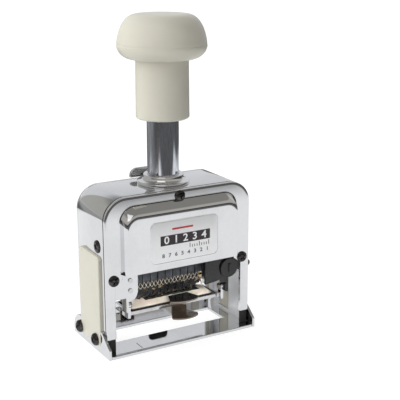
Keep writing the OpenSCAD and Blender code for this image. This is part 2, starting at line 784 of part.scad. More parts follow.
module pad_tray() color("gainsboro") difference() {
    box([-tray_w / 2, tray_w / 2], [tray_front, tray_back], [tray_z, tray_z + tray_h]);
    box([tray_wall - tray_w / 2, tray_w / 2 - tray_wall], [tray_front + tray_wall, tray_back - tray_wall],
        [tray_z + tray_wall, tray_z + tray_h + 1]);
}

module ink_pad() color("antiquewhite")
    box([pad_margin + tray_wall - tray_w / 2, tray_w / 2 - pad_margin - tray_wall],
        [tray_front + tray_wall + 0.2, tray_back - tray_wall - 0.2], [tray_z + tray_wall, pad_top]);

// Tongue that widens from its root and ends round
module tongue(root, half, root_y, reach, z) translate([grip_x, 0, z]) linear_extrude(grip_t) {
    wide_y = tray_front - reach + tongue_front;
    polygon([[-root, root_y], [-half, wide_y], [half, wide_y], [root, root_y]]);
    translate([0, wide_y]) scale([half, tongue_front]) circle(1);
}

module tray_grip() color("#8a8680") {
    web_y = [tray_front - grip_t, tray_front];
    box([grip_x - web_half, grip_x + web_half], web_y, [neck_z, grip_z[1]]);
    box([grip_x - neck_half, grip_x + neck_half], web_y, [grip_z[0], neck_z + eps]);
    tongue(web_half, grip_w / 2, tray_front + over_tray, grip_reach, grip_z[1] - grip_t);
    tongue(neck_half, lower_half, tray_front, grip_reach + 0.9, grip_z[0]);
}

housing_shell();
front_plate();
back_plate();
base_plate();
side_panel_left();
side_panel_right();
label_plate();
front_plate_screws();
back_plate_screws();
side_wall_screws();
base_flap_screws();
plate_lugs();
guide_collar();
collar_nut();
rest_buffer();
stop_slide();
desk_buffer();
left_bracket();
right_bracket();
bracket_pins();
pad_pivot_pins();
spring_bridge();
guide_post();
return_spring();
knob_cap();
knob_sleeve();
plunger_rod();
carriage_head();
rod_grub_screws();
left_cheek();
right_cheek();
head_screws();
wheel_axle();
axle_nuts();
rear_tie_rod();
comb_bar();
comb_fingers();
axle_spacer();
feed_ratchet();
feed_lever();
selector_dial();
pad_holder();
pad_tray();
ink_pad();
tray_grip();
number_wheel(1);  // number_wheel_1
number_wheel(2);  // number_wheel_2
number_wheel(3);  // number_wheel_3
number_wheel(4);  // number_wheel_4
number_wheel(5);  // number_wheel_5
number_wheel(6);  // number_wheel_6
number_wheel(7);  // number_wheel_7
number_wheel(8);  // number_wheel_8
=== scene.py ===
"""Numbering machine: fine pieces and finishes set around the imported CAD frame.

Lengths in the functions are millimetres, and the properties hold Blender's own metres.
"""
import json
import math

import bmesh
import bpy
from bpy.props import FloatProperty, FloatVectorProperty, PointerProperty, StringProperty
from mathutils import Matrix, Vector


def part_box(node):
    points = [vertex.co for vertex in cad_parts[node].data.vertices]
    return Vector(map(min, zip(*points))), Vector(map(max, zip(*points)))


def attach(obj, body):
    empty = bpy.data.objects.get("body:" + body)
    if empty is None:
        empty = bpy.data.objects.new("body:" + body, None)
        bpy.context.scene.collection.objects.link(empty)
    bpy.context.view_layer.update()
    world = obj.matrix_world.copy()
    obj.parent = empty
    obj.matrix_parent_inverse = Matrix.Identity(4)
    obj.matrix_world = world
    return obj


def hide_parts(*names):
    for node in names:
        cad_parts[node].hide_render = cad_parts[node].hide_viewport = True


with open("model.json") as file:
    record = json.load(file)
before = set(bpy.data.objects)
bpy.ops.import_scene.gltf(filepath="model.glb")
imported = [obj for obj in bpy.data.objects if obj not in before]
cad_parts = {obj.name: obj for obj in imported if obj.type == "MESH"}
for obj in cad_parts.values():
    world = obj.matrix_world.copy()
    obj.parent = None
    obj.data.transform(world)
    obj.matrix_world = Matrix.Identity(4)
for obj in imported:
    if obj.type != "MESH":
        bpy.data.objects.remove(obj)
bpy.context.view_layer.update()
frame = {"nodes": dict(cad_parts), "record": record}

bl_info = {
    "name": "Numbering Machine",
    "version": (1, 0, 0),
    "blender": (4, 5, 0),
    "location": "View3D > Sidebar > Numbering",
    "description": "Builds the pieces and finishes of a self-inking numbering machine",
    "category": "Object",
}

MM = 0.001


def span(node):
    """Lowest and highest corner of a CAD node in millimetres."""
    low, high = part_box(node)
    return low / MM, high / MM


SHELL_LOW, SHELL_HIGH = span("housing_shell")
PLATE_LOW, PLATE_HIGH = span("front_plate")
BACK_LOW, BACK_HIGH = span("back_plate")
BASE_HIGH = span("base_plate")[1]
CAP_LOW, CAP_HIGH = span("knob_cap")
SLEEVE_LOW, SLEEVE_HIGH = span("knob_sleeve")
ROD_LOW, ROD_HIGH = span("plunger_rod")
COLLAR_LOW, COLLAR_HIGH = span("guide_collar")

WHEELS = 8
HALF = 38.0                          # outer face of the housing's side walls
SHEET = 1.6                          # thickness of the housing's and the base's sheet
CORNER = 10.8                        # outer radius of the housing's upper corners
FACE, REAR = -15.8, -14.2            # faces of the front plate's border
SLOT_Y, SLOT_Z = (-0.4, 8.4), (2.8, 42)  # slot in each side wall for its panel's tongue
BORE = 7.49                          # bore round the plunger of knob, sleeve and collar
SMOOTH = 32                          # degrees up to which sheet metal is shaded smooth


# Properties ------------------------------------


def length_property(name, description, millimetres, **limits):
    return FloatProperty(name=name, description=description, default=millimetres * MM, unit="LENGTH",
                         **limits)


def share_property(name, description, default, low, high):
    return FloatProperty(name=name, description=description, default=default, min=low, max=high,
                         subtype="FACTOR")


def angle_property(name, description, degrees):
    return FloatProperty(name=name, description=description, default=math.radians(degrees), unit="ROTATION")


def colour_property(name, description, default):
    return FloatVectorProperty(name=name, description=description, subtype="COLOR", default=default,
                               min=0.0, max=1.0)


class HousingSettings(bpy.types.PropertyGroup):
    rim_width: length_property("Rim width", "Width of the rolled rim of the front plate", 1.3, min=0.0)
    rim_depth: length_property("Rim depth", "Depth of the rolled rim of the front plate", 0.28, min=0.0)
    edge: length_property("Sheet edge", "Radius of the small edges of the sheet parts", 0.22, min=0.0)
    panel_edge: length_property(
        "Side panel edge", "Radius of the edges of the cream side panels", 0.6, min=0.0)
    base_fillet: share_property(
        "Pressed panel root", "Share of the slope that the root fillet takes", 0.07, 0.0, 0.3)
    face_fillet: share_property(
        "Pressed panel brow", "Share of the slope where its broad brow is steepest", 0.5, 0.3, 0.8)


class KnobSettings(bpy.types.PropertyGroup):
    crease_height: length_property(
        "Crease height", "Height of the joint line above the underside of the head", 6.6)
    crease_depth: length_property("Crease depth", "Depth of the joint line of the head", 0.16)
    seam_angle: angle_property(
        "Tube seam", "Direction of the plunger tube's seam, turned from the front", -45.4)


class FigureSettings(bpy.types.PropertyGroup):
    wheel_figures: StringProperty(
        name="Wheel figures", description="Figures round each number wheel", default="0123456789")
    label_figures: StringProperty(
        name="Label figures", description="Figures in the windows of the label's strip", default="01234")
    figure_height: length_property("Figure height", "Height of a figure on a wheel", 4.4)
    relief: length_property("Relief", "Height that a figure stands out of its wheel", 0.3)
    finger_edge: length_property("Finger edge", "Radius of the edges of the comb's fingers", 0.18)


class FinishSettings(bpy.types.PropertyGroup):
    chrome: colour_property("Chrome", "Tone of the bright plating", (0.77, 0.775, 0.785))
    cream: colour_property("Cream", "Colour of the moulded plastic", (0.66, 0.64, 0.545))
    ink: colour_property("Ink", "Colour of the ink on the wheels", (0.012, 0.012, 0.014))
    brass: colour_property("Brass", "Colour of the bare brass", (0.72, 0.56, 0.33))
    felt: colour_property("Felt", "Colour of the ink pad's felt", (0.86, 0.765, 0.685))


class StageSettings(bpy.types.PropertyGroup):
    azimuth: angle_property("Azimuth", "Direction of the camera, turned from the front", -30.44)
    elevation: angle_property("Elevation", "Height of the camera as an angle", 15.43)
    distance: length_property("Distance", "Distance of the camera from what it looks at", 451.6)
    aim: FloatVectorProperty(
        name="Aim", description="Point that the camera looks at", subtype="TRANSLATION", unit="LENGTH",
        default=(19.95 * MM, 0.0, 62.66 * MM))
    lens: FloatProperty(
        name="Lens", description="Focal length in millimetres", default=84.1, unit="CAMERA")
    key_power: FloatProperty(
        name="Key light", description="Power of the large softbox in watts", default=0.7, unit="POWER")
    fill_power: FloatProperty(
        name="Window fill", description="Power of the narrow lamp that lights the ink pad, in watts",
        default=0.0044, unit="POWER")
    ambient: FloatProperty(
        name="Ambient", description="Brightness of the soft light from all sides", default=0.06)


# Outlines --------------------------------------


def arc(centre, radius, start, end, steps):
    """Points on an arc, with angles in degrees."""
    angles = [math.radians(start + (end - start) * i / steps) for i in range(steps + 1)]
    return [(centre[0] + radius * math.cos(a), centre[1] + radius * math.sin(a)) for a in angles]


def bezier(points, steps):
    """Points on a Bezier curve of any degree."""
    curve = []
    for i in range(steps + 1):
        t, level = i / steps, [Vector(p) for p in points]
        while len(level) > 1:
            level = [a.lerp(b, t) for a, b in zip(level, level[1:])]
        curve.append(tuple(level[0]))
    return curve


def round_rect(centre, width, height, radius, steps=6):
    x, y = width / 2 - radius, height / 2 - radius
    corners = [((x, y), 0), ((-x, y), 90), ((-x, -y), 180), ((x, -y), 270)]
    return [p for (cx, cy), a in corners
            for p in arc((centre[0] + cx, centre[1] + cy), radius, a, a + 90, steps)]


def arch(leg, top, radius, arc_steps=14, top_steps=8):
    """Inverted U of (x, z) points: up the left leg, over the top and down the right side."""
    half = -leg[-1][0]
    left = leg + arc((-half + radius, top - radius), radius, 180, 90, arc_steps)
    crown = [(-half + radius + 2 * (half - radius) * i / top_steps, top) for i in range(1, top_steps)]
    return left + crown + [(-x, z) for x, z in reversed(left)]


def straight(half, heights):
    """Left leg of an arch with upright sides."""
    return [(-half, z) for z in heights]


def inset(path, by):
    """Path moved towards the inside by a distance, on its own normals."""
    moved = []
    for i, (x, z) in enumerate(path):
        before, after = path[max(i - 1, 0)], path[min(i + 1, len(path) - 1)]
        a = Vector((x - before[0], z - before[1])).normalized()
        b = Vector((after[0] - x, after[1] - z)).normalized()
        t = (a + b).normalized()
        moved.append((x + t.y * by, z - t.x * by))
    return moved


def upright(path, y):
    """Path of (x, z) points at a depth."""
    return [(x, y, z) for x, z in path]


def quarter(radius, steps):
    """Pairs of how far a rounded edge has gone in and how far it still lies below the face."""
    angles = [math.pi / 2 * i / steps for i in range(steps + 1)]
    return [(radius * (1 - math.cos(a)), radius * (1 - math.sin(a))) for a in angles]


# Mesh helpers ----------------------------------


def link(name, data):
    piece = bpy.data.objects.new(name, data)
    bpy.context.scene.collection.objects.link(piece)
    return piece


def shade(mesh, angle):
    for face in mesh.polygons:
        face.use_smooth = True
    mesh.set_sharp_from_angle(angle=math.radians(angle))


def clean(mesh, angle):
    """Merged doubles, outward normals and smooth shading up to the given angle."""
    bm = bmesh.new()
    bm.from_mesh(mesh)
    bmesh.ops.remove_doubles(bm, verts=bm.verts, dist=1e-7)
    bmesh.ops.dissolve_degenerate(bm, edges=bm.edges, dist=1e-8)
    bmesh.ops.recalc_face_normals(bm, faces=bm.faces)
    bm.to_mesh(mesh)
    bm.free()
    shade(mesh, angle)


def mesh_piece(verts, faces, finishes="", angle=30, tints=None):
    """New piece from points in millimetres; tints gives the place of each face's finish in finishes."""
    mesh = bpy.data.meshes.new("part")
    mesh.from_pydata([Vector(v) * MM for v in verts], [], faces)
    for finish in finishes.split():
        mesh.materials.append(FINISH[finish])
    if tints:
        for face, tint in zip(mesh.polygons, tints):
            face.material_index = tint
    clean(mesh, angle)
    return link("part", mesh)


def baked(piece, angle=None):
    """The piece with its modifiers applied."""
    bpy.context.view_layer.update()
    graph = bpy.context.evaluated_depsgraph_get()
    old = piece.data
    mesh = bpy.data.meshes.new_from_object(piece.evaluated_get(graph), depsgraph=graph)
    piece.modifiers.clear()
    piece.data = mesh
    bpy.data.meshes.remove(old)
    if angle:
        clean(mesh, angle)
    return piece


def dropped(pieces):
    """Takes used pieces and their meshes out of the file."""
    for piece in pieces:
        mesh = piece.data
        bpy.data.objects.remove(piece)
        bpy.data.meshes.remove(mesh)


def joined(parts):
    """One piece from several, with their materials kept."""
    bm = bmesh.new()
    materials = []
    for part in parts:
        start = len(bm.faces)
        bm.from_mesh(part.data)
        bm.faces.ensure_lookup_table()
        materials += [material for material in part.data.materials if material not in materials]
        places = [materials.index(material) for material in part.data.materials]
        for face in bm.faces[start:]:
            face.material_index = places[face.material_index]
    mesh = bpy.data.meshes.new("part")
    bm.to_mesh(mesh)
    bm.free()
    for material in materials:
        mesh.materials.append(material)
    dropped(parts)
    return link("part", mesh)


def rounded(piece, width, segments=2, angle=35):
    """The piece with a bevel on every edge that turns by more than the angle."""
    bevel = piece.modifiers.new("Edges", "BEVEL")
    bevel.width = width * MM
    bevel.segments = segments
    bevel.limit_method = "ANGLE"
    bevel.angle_limit = math.radians(angle)
    bevel.harden_normals = True
    bevel.miter_outer = "MITER_ARC"
    return baked(piece)


def carved(piece, cutters):
    """The piece with the cutters taken away."""
    for cutter in cutters:
        cut = piece.modifiers.new("Cut", "BOOLEAN")
        cut.operation = "DIFFERENCE"
        cut.solver = "EXACT"
        cut.object = cutter
    baked(piece, SMOOTH)
    dropped(cutters)
    return piece


def loft(rows, closed_rows=False, closed_row=False, caps=False):
    """Points and faces of a skin over rows of points of equal length."""
    count = len(rows[0])
    verts = [p for row in rows for p in row]
    faces = []
    for i in range(len(rows) if closed_rows else len(rows) - 1):
        a, b = i * count, (i + 1) % len(rows) * count
        for j in range(count if closed_row else count - 1):
            k = (j + 1) % count
            faces.append((a + j, a + k, b + k, b + j))
    if caps:
        faces.append(tuple(range(count)))
        faces.append(tuple((len(rows) - 1) * count + j for j in reversed(range(count))))
    return verts, faces


def solid(rows, finishes="", angle=30):
    """Capped skin over closed rows."""
    return mesh_piece(*loft(rows, closed_row=True, caps=True), finishes, angle)


def block(x, y, z, finishes=""):
    verts = [(x[i], y[j], z[k]) for i in (0, 1) for j in (0, 1) for k in (0, 1)]
    faces = [(0, 1, 3, 2), (4, 6, 7, 5), (0, 4, 5, 1), (2, 3, 7, 6), (0, 2, 6, 4), (1, 5, 7, 3)]
    return mesh_piece(verts, faces, finishes)


def lathe(profile, finishes, steps, closed=False, angle=SMOOTH, tint=None):
    """Profile of (radius, height) points turned round the plunger's axis; an open one ends on the axis."""
    turns = [math.tau * i / steps for i in range(steps)]
    rows = [[(r * math.sin(a), -r * math.cos(a), z) for a in turns] for r, z in profile]
    verts, faces = loft(rows, closed_rows=closed, closed_row=True)
    tints = [tint(*divmod(i, steps)) for i in range(len(faces))] if tint else None
    return mesh_piece(verts, faces, finishes, angle, tints)


def prism(outline, axis, ends, finishes=""):
    """Outline pushed along X or Y; its points are (y, z) or (x, z)."""
    rows = [[(end, *p) if axis == "X" else (p[0], end, p[1]) for p in outline] for end in ends]
    return solid(rows, finishes)


def soft_copy(node, finish, width, segments=2):
    """Copy of a CAD node with merged points and rounded edges, which stands for it."""
    mesh = frame["nodes"][node].data.copy()
    mesh.materials.clear()
    mesh.materials.append(FINISH[finish])
    for layer in list(mesh.uv_layers):
        mesh.uv_layers.remove(layer)
    custom = mesh.attributes.get("custom_normal")
    if custom:
        mesh.attributes.remove(custom)
    bm = bmesh.new()
    bm.from_mesh(mesh)
    bmesh.ops.remove_doubles(bm, verts=bm.verts, dist=2e-7)
    bmesh.ops.dissolve_limit(bm, angle_limit=math.radians(1), verts=bm.verts, edges=bm.edges)
    bm.to_mesh(mesh)
    bm.free()
    shade(mesh, 30)
    return rounded(link("part", mesh), width, segments, 40)


def settle(node, slot, *parts):
    """Piece of one part or more that stands for the node and rides on its body."""
    piece = joined(parts) if len(parts) > 1 else parts[0]
    piece.name = piece.data.name = node + "_fine"
    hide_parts(node)
    bodies = frame["record"]["behaviour"]["bodies"]
    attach(piece, next(body for body, nodes in bodies.items() if node in nodes))
    return piece


# Node helpers ----------------------------------


def add(tree, kind, inputs=None, **settings):
    """New node with its settings and inputs.

    An input that is a socket, a node or a list of them gets links; a node is its first output.
    """
    node = tree.nodes.new(kind)
    for key, value in settings.items():
        setattr(node, key, value)
    for key, given in (inputs or {}).items():
        for value in given if isinstance(given, list) else [given]:
            source = value.outputs[0] if isinstance(value, bpy.types.Node) else value
            if isinstance(source, bpy.types.NodeSocket):
                tree.links.new(source, node.inputs[key])
            else:
                node.inputs[key].default_value = source
    return node


def calc(tree, operation, *values, **settings):
    return add(tree, "ShaderNodeMath", dict(enumerate(values)), operation=operation, **settings)


def times(tree, a, b):
    return calc(tree, "MULTIPLY", a, b)


def mix_colour(tree, factor, a, b):
    """Mix of two colours; the numbers are the Mix node's colour sockets."""
    return add(tree, "ShaderNodeMix", {0: factor, 6: a, 7: b}, data_type="RGBA").outputs[2]


def ramp(tree, value, low, high, out_low=0.0, out_high=1.0, kind="SMOOTHSTEP"):
    return add(tree, "ShaderNodeMapRange", {
        "Value": value, "From Min": low, "From Max": high, "To Min": out_low, "To Max": out_high},
        interpolation_type=kind)


def xyz(tree, **axes):
    return add(tree, "ShaderNodeCombineXYZ", axes)


def noise(tree, place, scale, detail, roughness=0.5):
    return add(tree, "ShaderNodeTexNoise", {
        "Vector": place, "Scale": scale, "Detail": detail, "Roughness": roughness})


def coordinates(tree, kind):
    """Coordinates of the given kind, and their three axes."""
    place = add(tree, "ShaderNodeTexCoord").outputs[kind]
    return place, add(tree, "ShaderNodeSeparateXYZ", {0: place}).outputs


def sockets(tree, in_out, kinds):
    """New sockets of a node group: kinds gives the kind of each name."""
    for name, kind in kinds.items():
        tree.interface.new_socket(name, in_out=in_out, socket_type="NodeSocket" + kind)


def emptied(data):
    """Material or world with an empty node tree, and that tree."""
    data.use_nodes = True
    data.node_tree.nodes.clear()
    return data, data.node_tree


def toned(colour, share=1.0):
    return (*(c * share for c in colour), 1.0)


# Finishes --------------------------------------

FINISH = {}
DARK_PATCH_X, DARK_PATCH_FRONT = (-11.5, 18.5), -2.3  # ends and front edge of the black patch on the pad under the wheels
DARK_SIDE_Z = (17.35, 17.75)                  # heights between which the pad's cover turns from black on its lower sides to felt colour


def handling_marks():
    """Cloudy smears and fine rubbed lines of a surface that is wiped and handled."""
    tree = bpy.data.node_groups.new("Handling Marks", "ShaderNodeTree")
    sockets(tree, "INPUT", {"Vector": "Vector", "Scale": "Float", "Stretch": "Vector", "Clean": "Color",
                            "Marked": "Color", "Low": "Float", "High": "Float"})
    sockets(tree, "OUTPUT", {"Colour": "Color", "Roughness": "Float", "Height": "Float", "Mask": "Float"})
    given = tree.nodes.new("NodeGroupInput").outputs
    place = add(tree, "ShaderNodeVectorMath", {0: given["Vector"], 1: given["Stretch"]},
                operation="MULTIPLY")
    smear = noise(tree, place, given["Scale"], 3.0, 0.55)
    fine = noise(tree, place, times(tree, given["Scale"], 9.0), 2.0, 0.6)
    both = calc(tree, "ADD", times(tree, ramp(tree, smear, 0.42, 0.68), 0.7),
                times(tree, ramp(tree, fine, 0.35, 0.75), 0.3), use_clamp=True)
    add(tree, "NodeGroupOutput", {
        "Colour": mix_colour(tree, both, given["Clean"], given["Marked"]),
        "Roughness": ramp(tree, both, 0.0, 1.0, given["Low"], given["High"], "LINEAR"),
        "Height": calc(tree, "ADD", smear, times(tree, fine, 0.12)), "Mask": both})


def surface(name, plain, marked, low, high, scale, bump, depth, metallic, stretch=(1, 1, 1), worn=None,
            **shader):
    """Material with handling marks, rough from low to high; worn is (colour, low, high) of bare places.

    The other values are set on the shader's own sockets.
    """
    material, tree = emptied(bpy.data.materials.new(name))
    marks = add(tree, "ShaderNodeGroup", {
        "Vector": add(tree, "ShaderNodeTexCoord").outputs["Object"], "Scale": scale, "Stretch": stretch,
        "Clean": toned(plain), "Marked": toned(marked), "Low": low, "High": high},
        node_tree=bpy.data.node_groups["Handling Marks"]).outputs
    colour = marks["Colour"]
    if worn:
        colour = mix_colour(tree, ramp(tree, marks["Mask"], worn[1], worn[2]), colour, toned(worn[0]))
    given = {"Base Color": colour, "Roughness": marks["Roughness"], "Metallic": metallic}
    given.update((key.replace("_", " "), value) for key, value in shader.items())
    if bump:
        given["Normal"] = add(tree, "ShaderNodeBump", {
            "Strength": bump, "Distance": depth * MM, "Height": marks["Height"]})
    add(tree, "ShaderNodeOutputMaterial", {"Surface": add(tree, "ShaderNodeBsdfPrincipled", given)})
    return material


def build_finishes():
    """All materials, by their maker's names."""
    look = bpy.context.scene.numbering_finish
    handling_marks()

    def tone(key, share=1.0):
        return tuple(c * share for c in getattr(look, key))

    plastic = {"IOR": 1.46, "Coat_Weight": 0.12, "Coat_Roughness": 0.25}
    enamel = {"Coat_Weight": 0.3, "Coat_Roughness": 0.12}
    gloss = {"Coat_Weight": 0.1, "Coat_Roughness": 0.08}
    # Key, name, clean and marked colour, roughness from and to, scale, bump, its depth, metallic, others.
    table = (
        ("chrome", "Chrome", tone("chrome"), tone("chrome", 0.94), 0.03, 0.09, 55, 0.1, 0.12, 1, {}),
        ("shell_chrome", "Housing Chrome", tone("chrome"), tone("chrome", 0.93), 0.025, 0.06, 48, 0.12, 0.12,
         1, {}),
        ("rod_chrome", "Drawn Tube", (0.7, 0.725, 0.77), (0.3, 0.305, 0.33), 0.05, 0.18, 230, 0.4, 0.14,
         1, {"stretch": (1, 1, 0.12)}),
        ("tube_seam", "Tube Seam", (0.2, 0.13, 0.11), (0.11, 0.08, 0.07), 0.35, 0.6, 400, 0.1, 0.05,
         0.6, {}),
        ("cream", "Cream Plastic", tone("cream"), tone("cream", 0.965), 0.3, 0.4, 40, 0.12, 0.1, 0, plastic),
        # The side panels' cream is the knob's cream at 0.9: painted shade, a darker copy of the same
        # plastic.
        ("panel", "Panel Plastic", tone("cream", 0.9), tone("cream", 0.87), 0.3, 0.4, 40, 0.12, 0.1, 0,
         plastic),
        ("satin", "Satin Steel", (0.95, 0.96, 0.98), (0.88, 0.89, 0.91), 0.3, 0.45, 120, 0.2, 0.06,
         0.35, {}),
        ("label", "Label Enamel", (0.98, 0.985, 0.99), (0.96, 0.965, 0.97), 0.28, 0.32, 70, 0, 0, 0.55,
         enamel),
        ("label_black", "Label Black", (0.035, 0.028, 0.03), (0.05, 0.04, 0.042), 0.35, 0.5, 120, 0.05, 0.05,
         0, {}),
        ("label_grey", "Label Grey", (0.1, 0.1, 0.102), (0.13, 0.13, 0.13), 0.4, 0.5, 120, 0, 0, 0, {}),
        ("label_red", "Label Red", (0.62, 0.035, 0.028), (0.55, 0.04, 0.03), 0.35, 0.5, 120, 0, 0, 0, {}),
        ("black_screw", "Black Oxide", (0.03, 0.029, 0.03), (0.14, 0.13, 0.125), 0.16, 0.36, 500, 0.3, 0.08,
         0.9, {}),
        ("black_gloss", "Black Enamel", (0.006, 0.006, 0.0065), (0.012, 0.0115, 0.0115), 0.16, 0.3, 150, 0.3,
         0.12, 0, gloss),
        ("nickel", "Nickel", (0.86, 0.85, 0.83), (0.72, 0.71, 0.69), 0.2, 0.34, 200, 0.1, 0.05, 0.7, {}),
        ("wire", "Pale Brass Wire", (0.74, 0.68, 0.56), (0.26, 0.23, 0.18), 0.2, 0.35, 500, 0, 0, 0.8, {}),
        ("zinc", "Zinc Steel", (0.6, 0.61, 0.625), (0.42, 0.42, 0.43), 0.16, 0.38, 160, 0.2, 0.08, 1, {}),
        ("bright_steel", "Bright Steel", (0.7, 0.705, 0.715), (0.55, 0.55, 0.55), 0.08, 0.22, 140, 0.15,
         0.06, 1, {}),
        ("dark_steel", "Oiled Steel", (0.2, 0.205, 0.215), (0.1, 0.1, 0.105), 0.2, 0.42, 180, 0.2, 0.06,
         1, {}),
        ("slate", "Comb Slate", (0.075, 0.08, 0.088), (0.045, 0.047, 0.052), 0.35, 0.55, 260, 0.2, 0.05,
         0.5, {}),
        ("inked", "Inked Wheel", (0.04, 0.042, 0.046), tone("ink"), 0.25, 0.5, 240, 0.3, 0.06, 0.5, {}),
        ("figure", "Worn Figure", tone("ink"), tone("brass", 0.12), 0.25, 0.45, 420, 0.3, 0.05, 0.6,
         {"worn": (tone("brass", 0.75), 0.62, 0.78)}),
        ("brass", "Brass", tone("brass"), tone("brass", 0.45), 0.18, 0.38, 220, 0.2, 0.06, 1, {}),
        ("grip", "Grip Steel", (0.32, 0.28, 0.24), (0.2, 0.17, 0.145), 0.06, 0.2, 130, 0.2, 0.1, 1, {}),
        ("rubber", "Black Rubber", (0.015, 0.015, 0.015), (0.035, 0.034, 0.032), 0.55, 0.8, 300, 0.3, 0.1,
         0, {}),
        ("mark", "Index Mark", (0.05, 0.05, 0.05), (0.12, 0.11, 0.1), 0.4, 0.6, 600, 0, 0, 0, {}),
    )
    made = {key: surface(*values, **others) for key, *values, others in table}
    made["felt"] = felt_finish(tone("felt"))
    return made


def felt_finish(colour):
    """Woven cover of the ink pad: crossed threads with a soft nap, a black patch under the wheels and black
    lower sides.
    """
    material, tree = emptied(bpy.data.materials.new("Pad Felt"))
    place, axes = coordinates(tree, "Object")
    weave = 1.0
    for direction in ("X", "Y"):
        weave = times(tree, weave, add(tree, "ShaderNodeTexWave", {
            "Vector": place, "Scale": 420.0, "Distortion": 1.2, "Detail": 1.0, "Detail Scale": 2.0},
            bands_direction=direction).outputs["Fac"])
    nap = noise(tree, place, 900.0, 4.0, 0.7)
    stain = noise(tree, place, 90.0, 3.0)
    tone = mix_colour(tree, weave, toned(colour, 0.82), toned(colour))
    tone = mix_colour(tree, ramp(tree, stain, 0.45, 0.75, 0.0, 0.35), tone, toned(colour, 0.72))
    soak = times(tree, calc(tree, "SUBTRACT", stain, 0.5), 0.8 * MM)
    # Mask of the black patch on the felt under the wheels.
    inked = 1.0
    for axis, edge, way in (("X", DARK_PATCH_X[0], 1), ("X", DARK_PATCH_X[1], -1), ("Y", DARK_PATCH_FRONT, 1)):
        inside = times(tree, calc(tree, "SUBTRACT", axes[axis], edge * MM), way)
        inside = ramp(tree, calc(tree, "ADD", inside, soak), -0.12 * MM, 0.12 * MM)
        inked = times(tree, inside, inked)
    # The pad's cover is black below these heights.
    side = ramp(tree, axes["Z"], DARK_SIDE_Z[0] * MM, DARK_SIDE_Z[1] * MM, 1.0, 0.0)
    height = calc(tree, "ADD", weave, times(tree, nap, 0.6))
    bsdf = add(tree, "ShaderNodeBsdfPrincipled", {
        "Base Color": mix_colour(tree, calc(tree, "MAXIMUM", inked, side), tone, (0.014, 0.012, 0.011, 1)),
        "Roughness": ramp(tree, nap, 0.3, 0.7, 0.8, 0.98), "Specular IOR Level": 0.25,
        "Normal": add(tree, "ShaderNodeBump", {"Strength": 0.6, "Distance": 0.15 * MM, "Height": height})})
    add(tree, "ShaderNodeOutputMaterial", {"Surface": bsdf})
    return material


# Geometry node trees ---------------------------


def geo(tree, kind, inputs=None, **settings):
    return add(tree, "GeometryNode" + kind, inputs, **settings)


def geometry_tree(name, sizes, **others):
    """New geometry node tree: its Geometry, named inputs and Material."""
    tree = bpy.data.node_groups.new(name, "GeometryNodeTree")
    sockets(tree, "INPUT", {
        "Geometry": "Geometry", **others, **dict.fromkeys(sizes, "Float"), "Material": "Material"})
    sockets(tree, "OUTPUT", {"Geometry": "Geometry"})
    return tree, tree.nodes.new("NodeGroupInput").outputs


def finished(tree, given, part, **more):
    """The tree with its part on every point, ended in Realize Instances and Set Material."""
    placed = geo(tree, "InstanceOnPoints", {"Points": given["Geometry"], "Instance": part, **more})
    real = geo(tree, "RealizeInstances", {"Geometry": placed})
    done = geo(tree, "SetMaterial", {"Geometry": real, "Material": given["Material"]})
    add(tree, "NodeGroupOutput", {"Geometry": done})
    return tree


def row_of(tree, given, part):
    """Parts in a row along X, by the tree's Count and Pitch."""
    row = geo(tree, "MeshLine", {"Count": given["Count"], "Offset": xyz(tree, X=given["Pitch"])})
    return geo(tree, "InstanceOnPoints", {"Points": row, "Instance": part})


def tube(tree, curve, radius, sides):
    circle = geo(tree, "CurvePrimitiveCircle", {"Resolution": sides, "Radius": 1.0})
    return geo(tree, "CurveToMesh", {
        "Curve": curve, "Profile Curve": circle, "Scale": radius, "Fill Caps": True})


def grown(points, tree, finish, angle, lengths, others=(), aims=()):
    """Plain mesh that a tree makes from points; points and lengths are in millimetres."""
    mesh = bpy.data.meshes.new("points")
    mesh.from_pydata([Vector(p) * MM for p in points], [], [])
    if aims:
        layer = mesh.attributes.new("aim", "FLOAT_VECTOR", "POINT")
        for place, aim in zip(layer.data, aims):
            place.vector = aim
    values = {name: length * MM for name, length in lengths.items()}
    values.update(others, Material=FINISH[finish])
    piece = link("part", mesh)
    modifier = piece.modifiers.new("Grow", "NODES")
    modifier.node_group = tree
    for socket in tree.interface.items_tree:
        if socket.in_out == "INPUT" and socket.name in values:
            modifier[socket.identifier] = values[socket.name]
    baked(piece)
    shade(piece.data, angle)
    return piece


